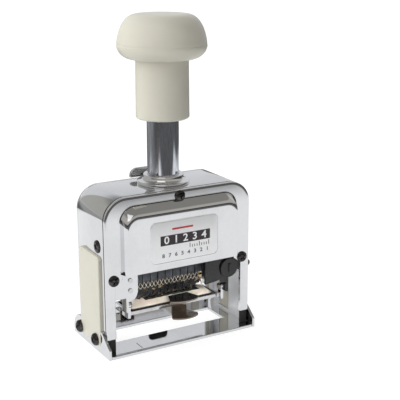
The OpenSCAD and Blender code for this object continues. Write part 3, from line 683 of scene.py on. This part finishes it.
def screw_tree():
    """Pan head with a cross recess and a shank, at every point and along its aim."""
    tree, given = geometry_tree(
        "Screws", ("Head Radius", "Head Height", "Shank Radius", "Shank Length", "Recess Width"))
    top = xyz(tree, Z=given["Head Height"])
    line = geo(tree, "CurvePrimitiveLine", {"End": top})
    line = geo(tree, "ResampleCurve", {"Curve": line, "Count": 12})
    dome = ramp(tree, geo(tree, "SplineParameter"), 0.3, 1.0, 0.0, 0.86, "LINEAR")
    shrunk = calc(tree, "SQRT", calc(tree, "SUBTRACT", 1.0, times(tree, dome, dome)))
    head = tube(tree, line, times(tree, given["Head Radius"], shrunk), 32)
    length, width = times(tree, given["Head Radius"], 1.15), given["Recess Width"]
    deep = times(tree, given["Head Height"], 1.1)
    bars = []
    for x, y in ((length, width), (width, length)):
        bar = geo(tree, "MeshCube", {"Size": xyz(tree, X=x, Y=y, Z=deep)})
        bars.append(geo(tree, "Transform", {"Geometry": bar, "Translation": top}))
    cut = geo(tree, "MeshBoolean", {0: head, 1: bars}, operation="DIFFERENCE", solver="EXACT")
    shank = geo(tree, "MeshCylinder", {
        "Vertices": 20, "Radius": given["Shank Radius"], "Depth": given["Shank Length"]})
    sink = xyz(tree, Z=times(tree, given["Shank Length"], -0.5))
    shank = geo(tree, "Transform", {"Geometry": shank, "Translation": sink})
    aim = geo(tree, "InputNamedAttribute", {"Name": "aim"}, data_type="FLOAT_VECTOR")
    turn = add(tree, "FunctionNodeAlignRotationToVector", {"Vector": aim}, axis="Z")
    spin = add(tree, "FunctionNodeRandomValue", {2: 0.0, 3: 1.5, "Seed": 7}, data_type="FLOAT").outputs[1]
    twist = add(tree, "FunctionNodeRotateRotation", {"Rotation": turn, "Rotate By": xyz(tree, Z=spin)},
                rotation_space="LOCAL")
    return finished(tree, given, geo(tree, "JoinGeometry", {0: [cut, shank]}), Rotation=twist)


def figure_tree():
    """Raised figures on the flats of a number wheel, round the X axis through the point."""
    tree, given = geometry_tree("Wheel Figures", ("Size", "Apothem", "Relief", "Step"), Figures="String")
    text = geo(tree, "StringToCurves", {"String": given["Figures"], "Size": given["Size"]},
               align_x="LEFT", align_y="MIDDLE", pivot_mode="MIDPOINT")
    fill = geo(tree, "FillCurve", {"Curve": text}, mode="NGONS")
    raised = geo(tree, "ExtrudeMesh", {
        "Mesh": fill, "Offset Scale": given["Relief"], "Individual": False}, mode="FACES")
    away = add(tree, "ShaderNodeVectorMath", {
        0: xyz(tree, Z=given["Apothem"]), 1: geo(tree, "InputPosition")}, operation="SUBTRACT")
    moved = geo(tree, "TranslateInstances", {
        "Instances": raised, "Translation": away, "Local Space": False})
    around = xyz(tree, X=times(tree, geo(tree, "InputIndex"), given["Step"]))
    turned = geo(tree, "RotateInstances", {"Instances": moved, "Rotation": around, "Local Space": False})
    return finished(tree, given, turned)


def finger_tree():
    """Row of spring fingers."""
    tree, given = geometry_tree("Comb Fingers", ("Pitch", "Width", "Thickness", "Height"), Count="Int")
    size = xyz(tree, X=given["Width"], Y=given["Thickness"], Z=given["Height"])
    return finished(tree, given, row_of(tree, given, geo(tree, "MeshCube", {"Size": size})))


def wire_tree():
    """Row of crossed detent wires below the comb; the points mark the first crossing."""
    tree, given = geometry_tree(
        "Detent Wires", ("Pitch", "Spread", "Depth", "Height", "Radius"), Count="Int")
    forward = times(tree, given["Depth"], -0.8)
    halfway = times(tree, given["Height"], 0.5)
    wires = []
    for way in (1, -1):
        lean = times(tree, given["Spread"], 0.5 * way)
        bow = geo(tree, "CurveQuadraticBezier", {
            "Resolution": 8, "Start": xyz(tree, X=times(tree, lean, -1.0)),
            "Middle": xyz(tree, X=times(tree, lean, 0.5), Y=forward, Z=halfway),
            "End": xyz(tree, X=lean, Z=given["Height"])})
        wires.append(tube(tree, bow, given["Radius"], 7))
    return finished(tree, given, row_of(tree, given, geo(tree, "JoinGeometry", {0: wires})))


# Pieces ----------------------------------------


def plate(outer, inner, front, back, look):
    """Arch-shaped plate with a rolled outer rim and a window or notch inside."""
    width, depth, edge = look.rim_width / MM, look.rim_depth / MM, look.edge / MM
    sign = 1 if back > front else -1
    rows = [upright(inset(outer, edge), back), upright(outer, back - sign * edge)]
    rows += [upright(inset(outer, width * by), front + sign * depth * below) for by, below in quarter(1, 8)]
    rows += [upright(inset(outer, width + 0.08), front), upright(inset(inner, -edge - 0.06), front),
             upright(inset(inner, -edge), front), upright(inner, front + sign * edge), upright(inner, back)]
    return solid(list(zip(*rows)), "chrome", SMOOTH)


class NUMBERING_OT_front_plate(bpy.types.Operator):
    """Front plate with its rolled rim and the pressed panel"""
    bl_idname = "numbering.front_plate"
    bl_label = "Front plate"

    def execute(self, context):
        look = context.scene.numbering_housing
        low, lip, waist = PLATE_LOW.z, 38.6, 50
        window, narrow, window_top = 33.5, 29.7, 68.8
        lower, upper = (low, 20, 33.2), (35.94, lip, waist)
        outer = arch(straight(PLATE_HIGH.x, lower + upper), PLATE_HIGH.z, CORNER)
        inner = arch(straight(window, lower) + straight(narrow, upper), window_top, 6.5)
        border = plate(outer, inner, FACE, REAR, look)
        start = FACE + 0.015
        depth = start - PLATE_LOW.y
        root, brow = look.base_fillet, look.face_fillet
        rise = (root, 1.86 * root)
        profile = bezier([(-1.4 * root, 0), (0, 0), rise], 7)
        profile += bezier([rise, (brow, 0.94), (0.67, 1.0), (1.0, 1.0)], 24)[1:]
        profile += [(1.04, 1)]
        rows = []
        for t, h in profile:
            leg = straight(30.7 - 2.7 * t, (lip, waist))
            rows.append(upright(arch(leg, 69.8 - 5.6 * t, 7.5 - 2.5 * t, 18), start - depth * h))
        verts, faces = loft(rows)
        count = len(rows[0])
        faces.append(tuple(range(len(verts) - count, len(verts))))
        # The foot of the slope gets painted shade: a black line along the root crease that stops short of
        # the ends of the legs.
        black = [i for i, (t, _) in enumerate(profile) if -0.02 < t < 0.045]
        places = [divmod(i, count - 1) for i in range(len(faces))]
        tints = [int(row in black and 4 < place < count - 6) for row, place in places]
        pressed = mesh_piece(verts, faces, "chrome black_gloss", SMOOTH, tints)
        if sum(face.normal.y * face.area for face in pressed.data.polygons) > 0:
            pressed.data.flip_normals()
        wall = pressed.modifiers.new("Wall", "SOLIDIFY")
        wall.thickness = 1.0 * MM
        baked(pressed, SMOOTH)
        settle("front_plate", "chrome", border, rounded(pressed, 0.2, 3, 60))
        return {"FINISHED"}


def bent_sheet(section, start, finishes):
    """Sheet bent over the housing's arch, from a height up; section holds its (inset, y) points."""
    rows = []
    for s, y in section:
        leg = straight(SHELL_HIGH.x - s, (start, 25, 50))
        rows.append(upright(arch(leg, SHELL_HIGH.z - s, CORNER - s, 20), y))
    return solid(list(zip(*rows)), finishes, SMOOTH)


class NUMBERING_OT_housing(bpy.types.Operator):
    """Housing shell with the groove behind the front plate, and the back plate"""
    bl_idname = "numbering.housing"
    bl_label = "Housing"

    def execute(self, context):
        look = context.scene.numbering_housing
        edge = look.edge / MM
        nick = edge * 0.3
        half, front, back, top = SHELL_HIGH.x, SHELL_LOW.y, SHELL_HIGH.y, SHELL_HIGH.z
        seam, step = 0.5, -13.4
        shell = bent_sheet([
            (SHEET, front), (seam, front), (seam, step - 0.02), (seam - 0.06, step), (edge, step),
            (nick, step + nick), (0, step + edge), (0, back - edge), (nick, back - nick), (edge, back),
            (SHEET, back)], SHELL_LOW.z, "shell_chrome satin")
        hole = 9.59
        cutters = [lathe([(0, top - 3), (hole, top - 3), (hole, top + 1), (0, top + 1)], "", 64)]
        for side in (-1, 1):
            cutters.append(block(sorted((side * (half - SHEET - 1), side * (half + 1))), SLOT_Y, SLOT_Z))
        carved(shell, cutters)
        middle = Vector((0, 0, 45 * MM))
        for face in shell.data.polygons:  # the inner faces are satin
            if abs(face.normal.y) < 0.5 and face.normal.dot(face.center - middle) < 0:
                face.material_index = 1
        # Painted shade: a thin black strip fills the groove behind the front plate, where shade falls.
        groove_shade_strip = [(seam, front), (0.16, front), (0.1, step - 0.1), (seam, step - 0.1)]
        settle("housing_shell", "chrome", shell, bent_sheet(groove_shade_strip, 9.0, "rubber"))

        outer = arch(straight(BACK_HIGH.x, (BACK_LOW.z, 20, 33, 41, 52)), BACK_HIGH.z, CORNER)
        inner = arch(straight(31.5, (BACK_LOW.z, 20, 33, 37, 39)), 41.0, 1.2)
        settle("back_plate", "chrome", plate(outer, inner, BACK_HIGH.y, BACK_LOW.y, look))
        return {"FINISHED"}


class NUMBERING_OT_base(bpy.types.Operator):
    """Base plate with the printing opening, its side flaps, the rear upstand and an index mark"""
    bl_idname = "numbering.base"
    bl_label = "Base plate"

    def execute(self, context):
        deep, top = BASE_HIGH.y, BASE_HIGH.z
        outer = round_rect((0, 0), 2 * HALF, 2 * deep, 0.8, 3)
        opening = round_rect((0, 2.4), 61.0, 15.6, 0.6, 3)
        rows = [[(x, y, z) for x, y in ring]
                for ring, z in ((outer, SHEET), (opening, SHEET), (opening, 0), (outer, 0))]
        floor = mesh_piece(*loft(rows, closed_rows=True, closed_row=True), "chrome")
        parts = [rounded(floor, 0.35, 3)]
        profile = [(-deep, 0), (deep, 0)] + arc((deep - 8, top - 8), 8, 0, 90, 10)
        profile += [(-12.4, top), (0.2 - deep, 4.9), (-deep, 4.7)]
        for side in (-1, 1):
            wing = prism(profile, "X", sorted((side * HALF, side * BASE_HIGH.x)), "chrome")
            parts.append(rounded(wing, 0.35, 3, 40))
        upstand = block((2 - HALF, HALF - 2), (deep - SHEET, deep), (0.0, 7.8), "chrome")
        parts.append(rounded(upstand, 0.4, 3))
        parts.append(block((-21.5, -21.15), (-17.8, -11.5), (SHEET - 0.05, SHEET + 0.02), "mark"))
        settle("base_plate", "chrome", *parts)
        return {"FINISHED"}


class NUMBERING_OT_side_panels(bpy.types.Operator):
    """Cream side panels with the guide tongue inside"""
    bl_idname = "numbering.side_panels"
    bl_label = "Side panels"

    def execute(self, context):
        edge = context.scene.numbering_housing.panel_edge / MM
        play, corner = 0.3, 1.8
        for side, node in ((-1, "side_panel_left"), (1, "side_panel_right")):
            low, high = span(node)
            face = max(abs(low.x), abs(high.x))
            centre = ((low.y + high.y) / 2, (low.z + high.z) / 2)
            wide, tall = high.y - low.y, high.z - low.z
            steps = [(0, HALF, corner)]
            steps += [(by, face - below, max(corner - by, 0.3)) for by, below in quarter(edge, 6)]
            steps += [(edge + 0.1, face, 1.2)]
            rows = [[(side * x, y, z) for y, z in round_rect(centre, wide - 2 * by, tall - 2 * by, radius)]
                    for by, x, radius in steps]
            tongue = block(sorted((side * 36.4, side * (HALF + 0.01))), (SLOT_Y[0] + play, SLOT_Y[1] - play),
                           (SLOT_Z[0] + play, SLOT_Z[1] - play), "panel")
            settle(node, "cream_plastic", solid(rows, "panel", SMOOTH), rounded(tongue, 0.3))
        return {"FINISHED"}


def figure_mesh(body, size, at, finish, bold):
    """Flat text in the XZ plane, read from the front, centred on the point."""
    curve = bpy.data.curves.new("text", "FONT")
    curve.body = body
    curve.size = size * MM
    curve.align_x = "CENTER"
    curve.align_y = "CENTER"
    curve.extrude = 0.01 * MM
    curve.resolution_u = 4
    curve.offset = bold * MM
    text = link("text", curve)
    bpy.context.view_layer.update()
    graph = bpy.context.evaluated_depsgraph_get()
    mesh = bpy.data.meshes.new_from_object(text.evaluated_get(graph), depsgraph=graph)
    bpy.data.objects.remove(text)
    bpy.data.curves.remove(curve)
    widened = Matrix.Diagonal((1.1, 1, 1, 1))
    mesh.transform(Matrix.Translation(Vector(at) * MM) @ Matrix.Rotation(math.pi / 2, 4, "X") @ widened)
    mesh.materials.append(FINISH[finish])
    return link("part", mesh)


class NUMBERING_OT_label(bpy.types.Operator):
    """Label with a dark strip of counter windows and plain figures"""
    bl_idname = "numbering.label"
    bl_label = "Label"

    def execute(self, context):
        low, high = span("label_plate")
        x, z = (low.x + high.x) / 2, (low.z + high.z) / 2
        wide, tall, face, corner = high.x - low.x, high.z - low.z, low.y, 2.5
        rows = [upright(round_rect((x, z), wide - 2 * by, tall - 2 * by, corner - by, 8), y)
                for by, y in ((0, high.y), (0, face + 0.12), (0.1, face + 0.05), (0.3, face + 0.03))]
        shadow = round_rect((x + 0.14, z - 0.2), wide, tall, corner, 8)
        parts = [solid(rows, "label", 40), prism(shadow, "Y", (high.y - 0.1, high.y), "label_grey")]
        level, middle = face + 0.03, 0.3

        def printed(x, z, width, height, radius, steps, finish):
            outline = round_rect((x, z), width, height, radius, steps)
            parts.append(prism(outline, "Y", (level - 0.012, level + 0.02), finish))

        printed(middle, 52.55, 26.0, 4.7, 0.25, 3, "label_black")
        figures = context.scene.numbering_figures.label_figures
        for i, figure in enumerate(figures):
            x = middle + (i - (len(figures) - 1) / 2) * 4.9
            parts.append(figure_mesh(figure, 4.9, (x, level - 0.014, 52.5), "label", 0.1))
        for i in range(8):
            x = middle + (i - 3.5) * 3.3
            parts.append(figure_mesh(str(8 - i), 2.5, (x, level - 0.004, 45.3), "label_grey", 0.07))
        for i in range(9):
            tick = 1.3 if i % 4 else 2.2
            printed(2.6 + i * 1.25, 47.45 + tick / 2, 0.34, tick, 0.1, 1, "label_black")
        printed(-1.2, 57.6, 11.0, 0.9, 0.3, 3, "label_red")
        settle("label_plate", "label_white", *parts)
        return {"FINISHED"}


def screws(places, head, shank):
    """Screws at ((x, y, z), aim) places; head and shank are (radius, length)."""
    points, aims = zip(*places)
    return grown(points, bpy.data.node_groups["Screws"], "black_screw", SMOOTH, {
        "Head Radius": head[0], "Head Height": head[1], "Shank Radius": shank[0],
        "Shank Length": shank[1], "Recess Width": head[0] * 0.26}, aims=aims)


class NUMBERING_OT_screws(bpy.types.Operator):
    """All black screws with cross recesses"""
    bl_idname = "numbering.screws"
    bl_label = "Screws"

    def execute(self, context):
        screw_tree()
        front, back, left, right = (0, -1, 0), (0, 1, 0), (-1, 0, 0), (1, 0, 0)
        sides = ((-1, left), (1, right))
        low, high = span("head_screws")
        flap_head = span("base_flap_screws")[1].x - BASE_HIGH.x
        for node, groups in {
            "front_plate_screws": [
                ([((x, FACE, z), front) for x, z in ((-34.1, 36.1), (34.1, 36.1), (0, 71.3))],
                 (2.6, 1.2), (1.1, 2.7))],
            "back_plate_screws": [
                ([((x, 15.0, 70.1), back) for x in (-20, 20)], (2.6, 1.2), (1.1, 3.1))],
            "side_wall_screws": [
                ([((-HALF, -7.6, 50.8), left)], (3.0, 1.0), (1.1, 3.0)),
                ([((HALF, -12.8, 31.5), right)], (1.7, 2.3), (0.8, 3.0))],
            "base_flap_screws": [
                ([((s * 39.3, y, 5.75), aim) for s, aim in sides for y in (-6.4, 11.6)],
                 (3.0, flap_head), (1.1, 2.7))],
            "head_screws": [
                ([((s * 23.6, y, (low.z + high.z) / 2), aim) for s, aim in sides for y in (-5, 5)],
                 (1.9, 1.0), (1.1, 5.6))],
        }.items():
            settle(node, "black_screw", *(screws(*group) for group in groups))
        return {"FINISHED"}


class NUMBERING_OT_knob(bpy.types.Operator):
    """Push knob: domed head with a joint line, and the sleeve below it"""
    bl_idname = "numbering.knob"
    bl_label = "Knob"

    def execute(self, context):
        look = context.scene.numbering_knob
        low, top, wide = CAP_LOW.z, CAP_HIGH.z, CAP_HIGH.x
        crease, groove = low + look.crease_height / MM, look.crease_depth / MM
        socket = low + 11.05
        dome = bezier([(wide - 0.1, crease + 0.45), (wide - 0.35, crease + 4.5), (wide - 2.2, top - 2.6),
                       (wide - 5.2, top - 0.25), (wide - 9.6, top)], 26)
        bowl = bezier([(wide - 7.4, low), (wide - 3.6, low + 0.1), (wide - 0.7, low + 2.2),
                       (wide, crease - 1.6), (wide, crease - 0.25)], 18)
        profile = [(0, socket), (BORE, socket), (BORE, low + 0.3), (BORE + 0.3, low)] + bowl
        profile += [(wide - groove, crease - 0.05), (wide - groove, crease + 0.2)] + dome
        profile += [(wide - 14, top), (0, top)]
        settle("knob_cap", "cream_plastic", lathe(profile, "cream", 128, angle=48))
        low, high, wide = SLEEVE_LOW.z, SLEEVE_HIGH.z, SLEEVE_HIGH.x
        profile = [(BORE, high), (BORE, low + 0.5), (BORE + 0.5, low)]
        profile += arc((wide - 1.1, low + 1.1), 1.1, -90, 0, 8)
        profile += [(wide - 0.05, low + 3.0), (wide - 0.2, high)]
        settle("knob_sleeve", "cream_plastic", lathe(profile, "cream", 112, closed=True, angle=40))
        return {"FINISHED"}


class NUMBERING_OT_plunger(bpy.types.Operator):
    """Plunger tube with its seam and notches, and the guide collar"""
    bl_idname = "numbering.plunger"
    bl_label = "Plunger and collar"

    def execute(self, context):
        steps, rings = 128, 40
        radius, low, high = ROD_HIGH.x, ROD_LOW.z, ROD_HIGH.z
        bore, bore_top, edge = 5.4, 95.0, 0.3
        turn = math.degrees(context.scene.numbering_knob.seam_angle) % 360
        column = int(turn / 360 * steps)
        profile = [(bore, bore_top), (bore, low), (radius - edge, low)]
        profile += [(radius, low + edge + (high - low - 2 * edge) * i / rings) for i in range(rings + 1)]
        profile += [(radius - edge, high), (0, high), (0, bore_top)]
        rod = lathe(profile, "rod_chrome tube_seam", steps, closed=True,
                    tint=lambda row, side: int(side == column and 2 < row < rings + 3))
        hole = [(y, low + 2 + z) for y, z in arc((0, 0), 1.25, 0, 345, 23)]
        cutters = [block((-8, 8), (radius - 1.35, radius + 1), (z - 0.25, z + 1.25)) for z in (74.3, 92.8)]
        settle("plunger_rod", "chrome", carved(rod, cutters + [prism(hole, "Y", (-9, 9))]))

        top, flange, spigot, peak = 74.1, COLLAR_HIGH.x, 9.54, COLLAR_HIGH.z
        profile = [(BORE, COLLAR_LOW.z), (spigot, COLLAR_LOW.z), (spigot, top), (flange - 0.35, top)]
        profile += arc((flange - 0.5, top + 0.5), 0.5, -60, 0, 4)
        profile += arc((flange - 0.75, top + 1.05), 0.75, 0, 90, 6)
        profile += bezier([(flange - 1.2, top + 1.8), (flange - 2.0, top + 1.95), (9.75, top + 2.5),
                           (9.55, top + 3.6)], 10)
        profile += arc((8.9, peak - 0.55), 0.55, 10, 90, 6) + [(7.95, peak), (BORE, peak - 0.35)]
        collar = lathe(profile, "chrome", 128, closed=True)
        slide_way = block((-2.8, 2.8), (5, flange + 1), (top + 0.1, top + 1.3))
        settle("guide_collar", "chrome", carved(collar, [slide_way]))
        return {"FINISHED"}


class NUMBERING_OT_wheels(bpy.types.Operator):
    """Number wheels with raised figures, one piece for each wheel"""
    bl_idname = "numbering.wheels"
    bl_label = "Number wheels"

    def execute(self, context):
        look = context.scene.numbering_figures
        tree = figure_tree()
        axle_y, axle_z, sunk = 2.2, 29.6, 0.02
        for i in range(1, WHEELS + 1):
            node = "number_wheel_%d" % i
            low, high = span(node)
            rim = soft_copy(node, "inked", 0.22)
            middle = ((low.x + high.x) / 2, axle_y, axle_z)
            figures = grown([middle], tree, "figure", 30, {"Apothem": axle_z - low.z - sunk}, {
                "Figures": look.wheel_figures, "Size": look.figure_height * 1.25,
                "Relief": look.relief + sunk * MM, "Step": math.tau / 12})
            settle(node, "inked_wheel", rim, figures)
        return {"FINISHED"}


class NUMBERING_OT_comb(bpy.types.Operator):
    """Comb of spring fingers in front of the wheels"""
    bl_idname = "numbering.comb"
    bl_label = "Comb"

    def execute(self, context):
        low, high = span("comb_fingers")
        pitch, gap, tip = 4.0, 0.35, low.z
        start = (low.x + (pitch - gap) / 2, (low.y + high.y) / 2, (low.z + high.z) / 2)
        comb = grown([start], finger_tree(), "slate", 30, {
            "Pitch": pitch, "Width": pitch - gap, "Thickness": high.y - low.y, "Height": high.z - low.z},
            {"Count": round((high.x - low.x + gap) / pitch)})
        rounded(comb, context.scene.numbering_figures.finger_edge / MM)
        wires = grown([(-18.9, -9.6, tip - 3.3)], wire_tree(), "wire", 40, {
            "Pitch": 2.0, "Spread": 1.9, "Depth": 0.8, "Height": 3.6, "Radius": 0.16}, {"Count": 17})
        stem = block((15.0, 16.4), (-10.2, -9.8), (tip - 3.4, tip + 0.6), "slate")
        tab = block((14.3, 17.0), (-10.3, -9.9), (tip - 6.5, tip - 3.1), "nickel")
        settle("comb_fingers", "dark_steel", comb, wires, rounded(stem, 0.15), rounded(tab, 0.15))
        return {"FINISHED"}


class NUMBERING_OT_ink_pad(bpy.types.Operator):
    """Felt pad, its tray and the bent steel grip"""
    bl_idname = "numbering.ink_pad"
    bl_label = "Ink pad"

    def execute(self, context):
        low, high = span("ink_pad")
        middle = (low + high) / 2
        wide, deep, tall = (high - low) / 2
        levels = [(0.0, 0.0), (0.0, 0.45)]
        levels += [(0.66 * (1 - math.cos(a)), 0.45 + 0.5 * math.sin(a)) for a in (0.3, 0.6, 0.9, 1.2, 1.5)]
        rows = []
        for by, level in levels:
            outline = round_rect((middle.x, middle.y), 2 * wide - 2 * by, 2 * deep - 2 * by, 1.3, 5)
            rows.append([(x, y, low.z + 2 * tall * level) for x, y in outline])
        pad = solid(rows, "felt", 60)
        detail = pad.modifiers.new("Detail", "REMESH")
        detail.mode = "VOXEL"
        detail.voxel_size = 0.35 * MM
        baked(pad)
        pitch, first, last = 4.0, -17.7, 14.3
        for vertex in pad.data.vertices:
            x, y, z = vertex.co / MM
            u, v = (x - middle.x) / wide, (y - middle.y) / deep
            if z > low.z + 1.0:
                crown = (1 - min(abs(u), 1) ** 6) * (1 - min(abs(v), 1) ** 4)
                under = first < x < last
                dent = 0.05 * math.cos(math.tau * (x - first - pitch / 2) / pitch) if under else 0.0
                z = z - 0.16 + 0.14 * crown - dent * crown * max(0.0, 1 - (v * 1.3 + 0.1) ** 2)
            vertex.co.z = min(z, high.z) * MM
        shade(pad.data, 70)
        settle("ink_pad", "felt", pad)

        settle("pad_tray", "chrome", soft_copy("pad_tray", "bright_steel", 0.16, 3))
        settle("pad_holder", "chrome", soft_copy("pad_holder", "chrome", 0.16, 3))
        settle("tray_grip", "grip_steel", soft_copy("tray_grip", "grip", 0.22, 3))
        return {"FINISHED"}


SLOTS = {"zinc": "zinc_steel", "bright_steel": "zinc_steel", "rubber": "black_rubber",
         "black_gloss": "dark_steel"}  # slots of the finishes that aren't named like their slot
MECHANISM = {  # finish and edge radius of each node
    "plate_lugs": ("zinc", 0.2),
    "collar_nut": ("zinc", 0.3),
    "stop_slide": ("bright_steel", 0.35),
    "desk_buffer": ("rubber", 0.4),
    "rest_buffer": ("rubber", 0.2),
    "left_bracket": ("chrome", 0.18),
    "right_bracket": ("black_gloss", 0.25),
    "bracket_pins": ("bright_steel", 0.12),
    "pad_pivot_pins": ("bright_steel", 0.12),
    "spring_bridge": ("zinc", 0.2),
    "guide_post": ("bright_steel", 0.2),
    "carriage_head": ("zinc", 0.25),
    "left_cheek": ("dark_steel", 0.2),
    "right_cheek": ("dark_steel", 0.2),
    "wheel_axle": ("bright_steel", 0.2),
    "axle_nuts": ("black_screw", 0.2),
    "rear_tie_rod": ("bright_steel", 0.12),
    "comb_bar": ("dark_steel", 0.2),
    "axle_spacer": ("bright_steel", 0.25),
    "feed_ratchet": ("brass", 0.15),
    "feed_lever": ("brass", 0.2),
    "selector_dial": ("black_gloss", 0.22),
    "rod_grub_screws": ("black_screw", 0.15),
}


class NUMBERING_OT_mechanism(bpy.types.Operator):
    """Inner steel and brass parts with rounded edges, and the return spring's finish"""
    bl_idname = "numbering.mechanism"
    bl_label = "Mechanism"

    def execute(self, context):
        for node, (finish, width) in MECHANISM.items():
            settle(node, SLOTS.get(finish, finish), soft_copy(node, finish, width))
        for material_slot in frame["nodes"]["return_spring"].material_slots:
            material_slot.material = FINISH["bright_steel"]
        return {"FINISHED"}


class NUMBERING_OT_finishes(bpy.types.Operator):
    """Materials of every piece"""
    bl_idname = "numbering.finishes"
    bl_label = "Finishes"

    def execute(self, context):
        FINISH.update(build_finishes())
        return {"FINISHED"}


# Stage -----------------------------------------


def rays(tree):
    """Kinds of ray, and a factor that is 1 for what the camera sees itself or through glass."""
    path = add(tree, "ShaderNodeLightPath").outputs
    return path, calc(tree, "MAXIMUM", path["Is Camera Ray"], path["Is Transmission Ray"])


def floor_material():
    """White paper under a soft light: plain white to the camera, with the shadow kept.

    The plating shows it as a sheet of paper that ends in a darker room.
    """
    material, tree = emptied(bpy.data.materials.new("Paper Floor"))
    path, clear = rays(tree)
    axes = coordinates(tree, "Object")[1]
    paper = 1.0
    for axis, outside, inside in (("X", -0.36, -0.28), ("X", 0.41, 0.33), ("Y", -0.285, -0.205),
                                  ("Y", 0.27, 0.23)):
        paper = times(tree, paper, ramp(tree, axes[axis], outside, inside))
    left = times(tree, ramp(tree, axes["Y"], -0.1, 0.2), ramp(tree, axes["X"], -0.05, -0.15, 0.0, 0.18))
    room = calc(tree, "ADD", calc(tree, "ADD", left, 0.09), ramp(tree, axes["Y"], 0.4, 2.5, 0.0, 0.15))
    mirrored = mix_colour(tree, paper, room, (0.72, 0.725, 0.735, 1))
    seen = calc(tree, "MAXIMUM", clear, path["Is Glossy Ray"])
    white = 0.86
    tone = mix_colour(tree, clear, mirrored, (white, white, white, 1))
    share = mix_colour(tree, seen, (0.9, 0.9, 0.9, 1), times(tree, tone, 0.28 / white))
    both = add(tree, "ShaderNodeAddShader", {
        0: add(tree, "ShaderNodeEmission", {"Color": tone, "Strength": seen}),
        1: add(tree, "ShaderNodeBsdfDiffuse", {"Color": share})})
    add(tree, "ShaderNodeOutputMaterial", {"Surface": both})
    return material


def studio_world(ambient):
    """White to the camera, soft light from both sides on the object, and a grey room in the plating."""
    world, tree = emptied(bpy.data.worlds.new("Studio"))
    path, clear = rays(tree)
    aim, axes = coordinates(tree, "Generated")

    def above(axis, low, high, colour, other):
        return mix_colour(tree, ramp(tree, axes[axis], low, high), colour, other)

    backdrop = above("X", -0.13, -0.08, (0.44, 0.435, 0.41, 1), (0.70, 0.71, 0.73, 1))
    backdrop = above("Z", 0.5, 0.85, backdrop, (0.2, 0.2, 0.2, 1))
    room = above("Z", 0.1, 0.24, (0.05, 0.05, 0.052, 1), (0.47, 0.45, 0.42, 1))
    room = above("Z", 0.58, 0.76, room, (0.25, 0.245, 0.23, 1))
    light = ambient
    for way, low, high, power in (((-0.85, 0.35, 0.39), 0.1, 0.9, 1.84),
                                  ((0.62, 0.75, 0.2), 0.5, 0.98, 1.3)):
        facing = add(tree, "ShaderNodeVectorMath", {0: aim, 1: way}, operation="DOT_PRODUCT")
        share = ramp(tree, facing.outputs["Value"], low, high, 0.0, power)
        light = calc(tree, "ADD", share, light)
    colour = mix_colour(tree, path["Is Glossy Ray"], light, above("Y", -0.05, 0.35, room, backdrop))
    colour = mix_colour(tree, clear, colour, (1, 1, 1, 1))
    back = add(tree, "ShaderNodeBackground", {"Color": colour, "Strength": 1.0})
    add(tree, "ShaderNodeOutputWorld", {"Surface": back})
    return world


def softbox(name, direction, distance, size, power, target, spread=180):
    """Rectangular area light in the given direction from a point of the machine."""
    data = bpy.data.lights.new(name, "AREA")
    data.shape = "RECTANGLE"
    data.size, data.size_y = size
    data.energy = power
    data.spread = math.radians(spread)
    light = link(name, data)
    away = Vector(direction).normalized()
    light.location = Vector(target) + away * distance
    light.rotation_euler = away.to_track_quat("Z", "Y").to_euler()


class NUMBERING_OT_stage(bpy.types.Operator):
    """Camera, white floor, studio room and softbox"""
    bl_idname = "numbering.stage"
    bl_label = "Stage"

    def execute(self, context):
        look, scene = context.scene.numbering_stage, context.scene
        camera = link("Camera", bpy.data.cameras.new("Camera"))
        back = Vector((math.sin(look.azimuth) * math.cos(look.elevation),
                       -math.cos(look.azimuth) * math.cos(look.elevation), math.sin(look.elevation)))
        camera.location = Vector(look.aim) + back * look.distance
        camera.rotation_euler = back.to_track_quat("Z", "Y").to_euler()
        camera.data.lens = look.lens
        camera.data.clip_start, camera.data.clip_end = 0.01, 50.0
        scene.camera = camera
        scene.view_settings.view_transform = "Standard"
        scene.world = studio_world(look.ambient)
        size = 3.0
        mesh = bpy.data.meshes.new("floor")
        mesh.from_pydata([(-size, -size, 0), (size, -size, 0), (size, size, 0), (-size, size, 0)], [],
                         [(0, 1, 2, 3)])
        mesh.materials.append(floor_material())
        link("floor", mesh)
        softbox("Key", (-0.47, -0.51, 0.69), 0.85, (0.56, 0.52), look.key_power, (0, 0, 0.06))
        softbox("Window Fill", (-0.1, -0.83, 0.5), 0.22, (0.055, 0.003), look.fill_power,
                (0, -0.002, 0.018), 7)
        return {"FINISHED"}


# Add-on ----------------------------------------

PIECE_OPERATORS = [
    NUMBERING_OT_finishes, NUMBERING_OT_front_plate, NUMBERING_OT_housing, NUMBERING_OT_base,
    NUMBERING_OT_side_panels, NUMBERING_OT_label, NUMBERING_OT_screws, NUMBERING_OT_knob,
    NUMBERING_OT_plunger, NUMBERING_OT_wheels, NUMBERING_OT_comb, NUMBERING_OT_ink_pad,
    NUMBERING_OT_mechanism, NUMBERING_OT_stage,
]


class NUMBERING_PT_panel(bpy.types.Panel):
    """Pieces of the numbering machine"""
    bl_label = "Numbering machine"
    bl_idname = "NUMBERING_PT_panel"
    bl_space_type = "VIEW_3D"
    bl_region_type = "UI"
    bl_category = "Numbering"

    def draw(self, context):
        for settings in SETTINGS:
            box = self.layout.box()
            group_of = getattr(context.scene, settings)
            for key in group_of.__annotations__:
                box.prop(group_of, key)
        for operator in PIECE_OPERATORS:
            self.layout.operator(operator.bl_idname)


SETTINGS = {
    "numbering_housing": HousingSettings,
    "numbering_knob": KnobSettings,
    "numbering_figures": FigureSettings,
    "numbering_finish": FinishSettings,
    "numbering_stage": StageSettings,
}
CLASSES = [*SETTINGS.values(), *PIECE_OPERATORS, NUMBERING_PT_panel]


def register():
    for cls in CLASSES:
        bpy.utils.register_class(cls)
    for name, cls in SETTINGS.items():
        setattr(bpy.types.Scene, name, PointerProperty(type=cls))


def unregister():
    for name in SETTINGS:
        delattr(bpy.types.Scene, name)
    for cls in reversed(CLASSES):
        bpy.utils.unregister_class(cls)


def main():
    register()
    for operator in PIECE_OPERATORS:
        getattr(bpy.ops.numbering, operator.bl_idname.split(".")[1])()


if __name__ == "__main__":
    main()
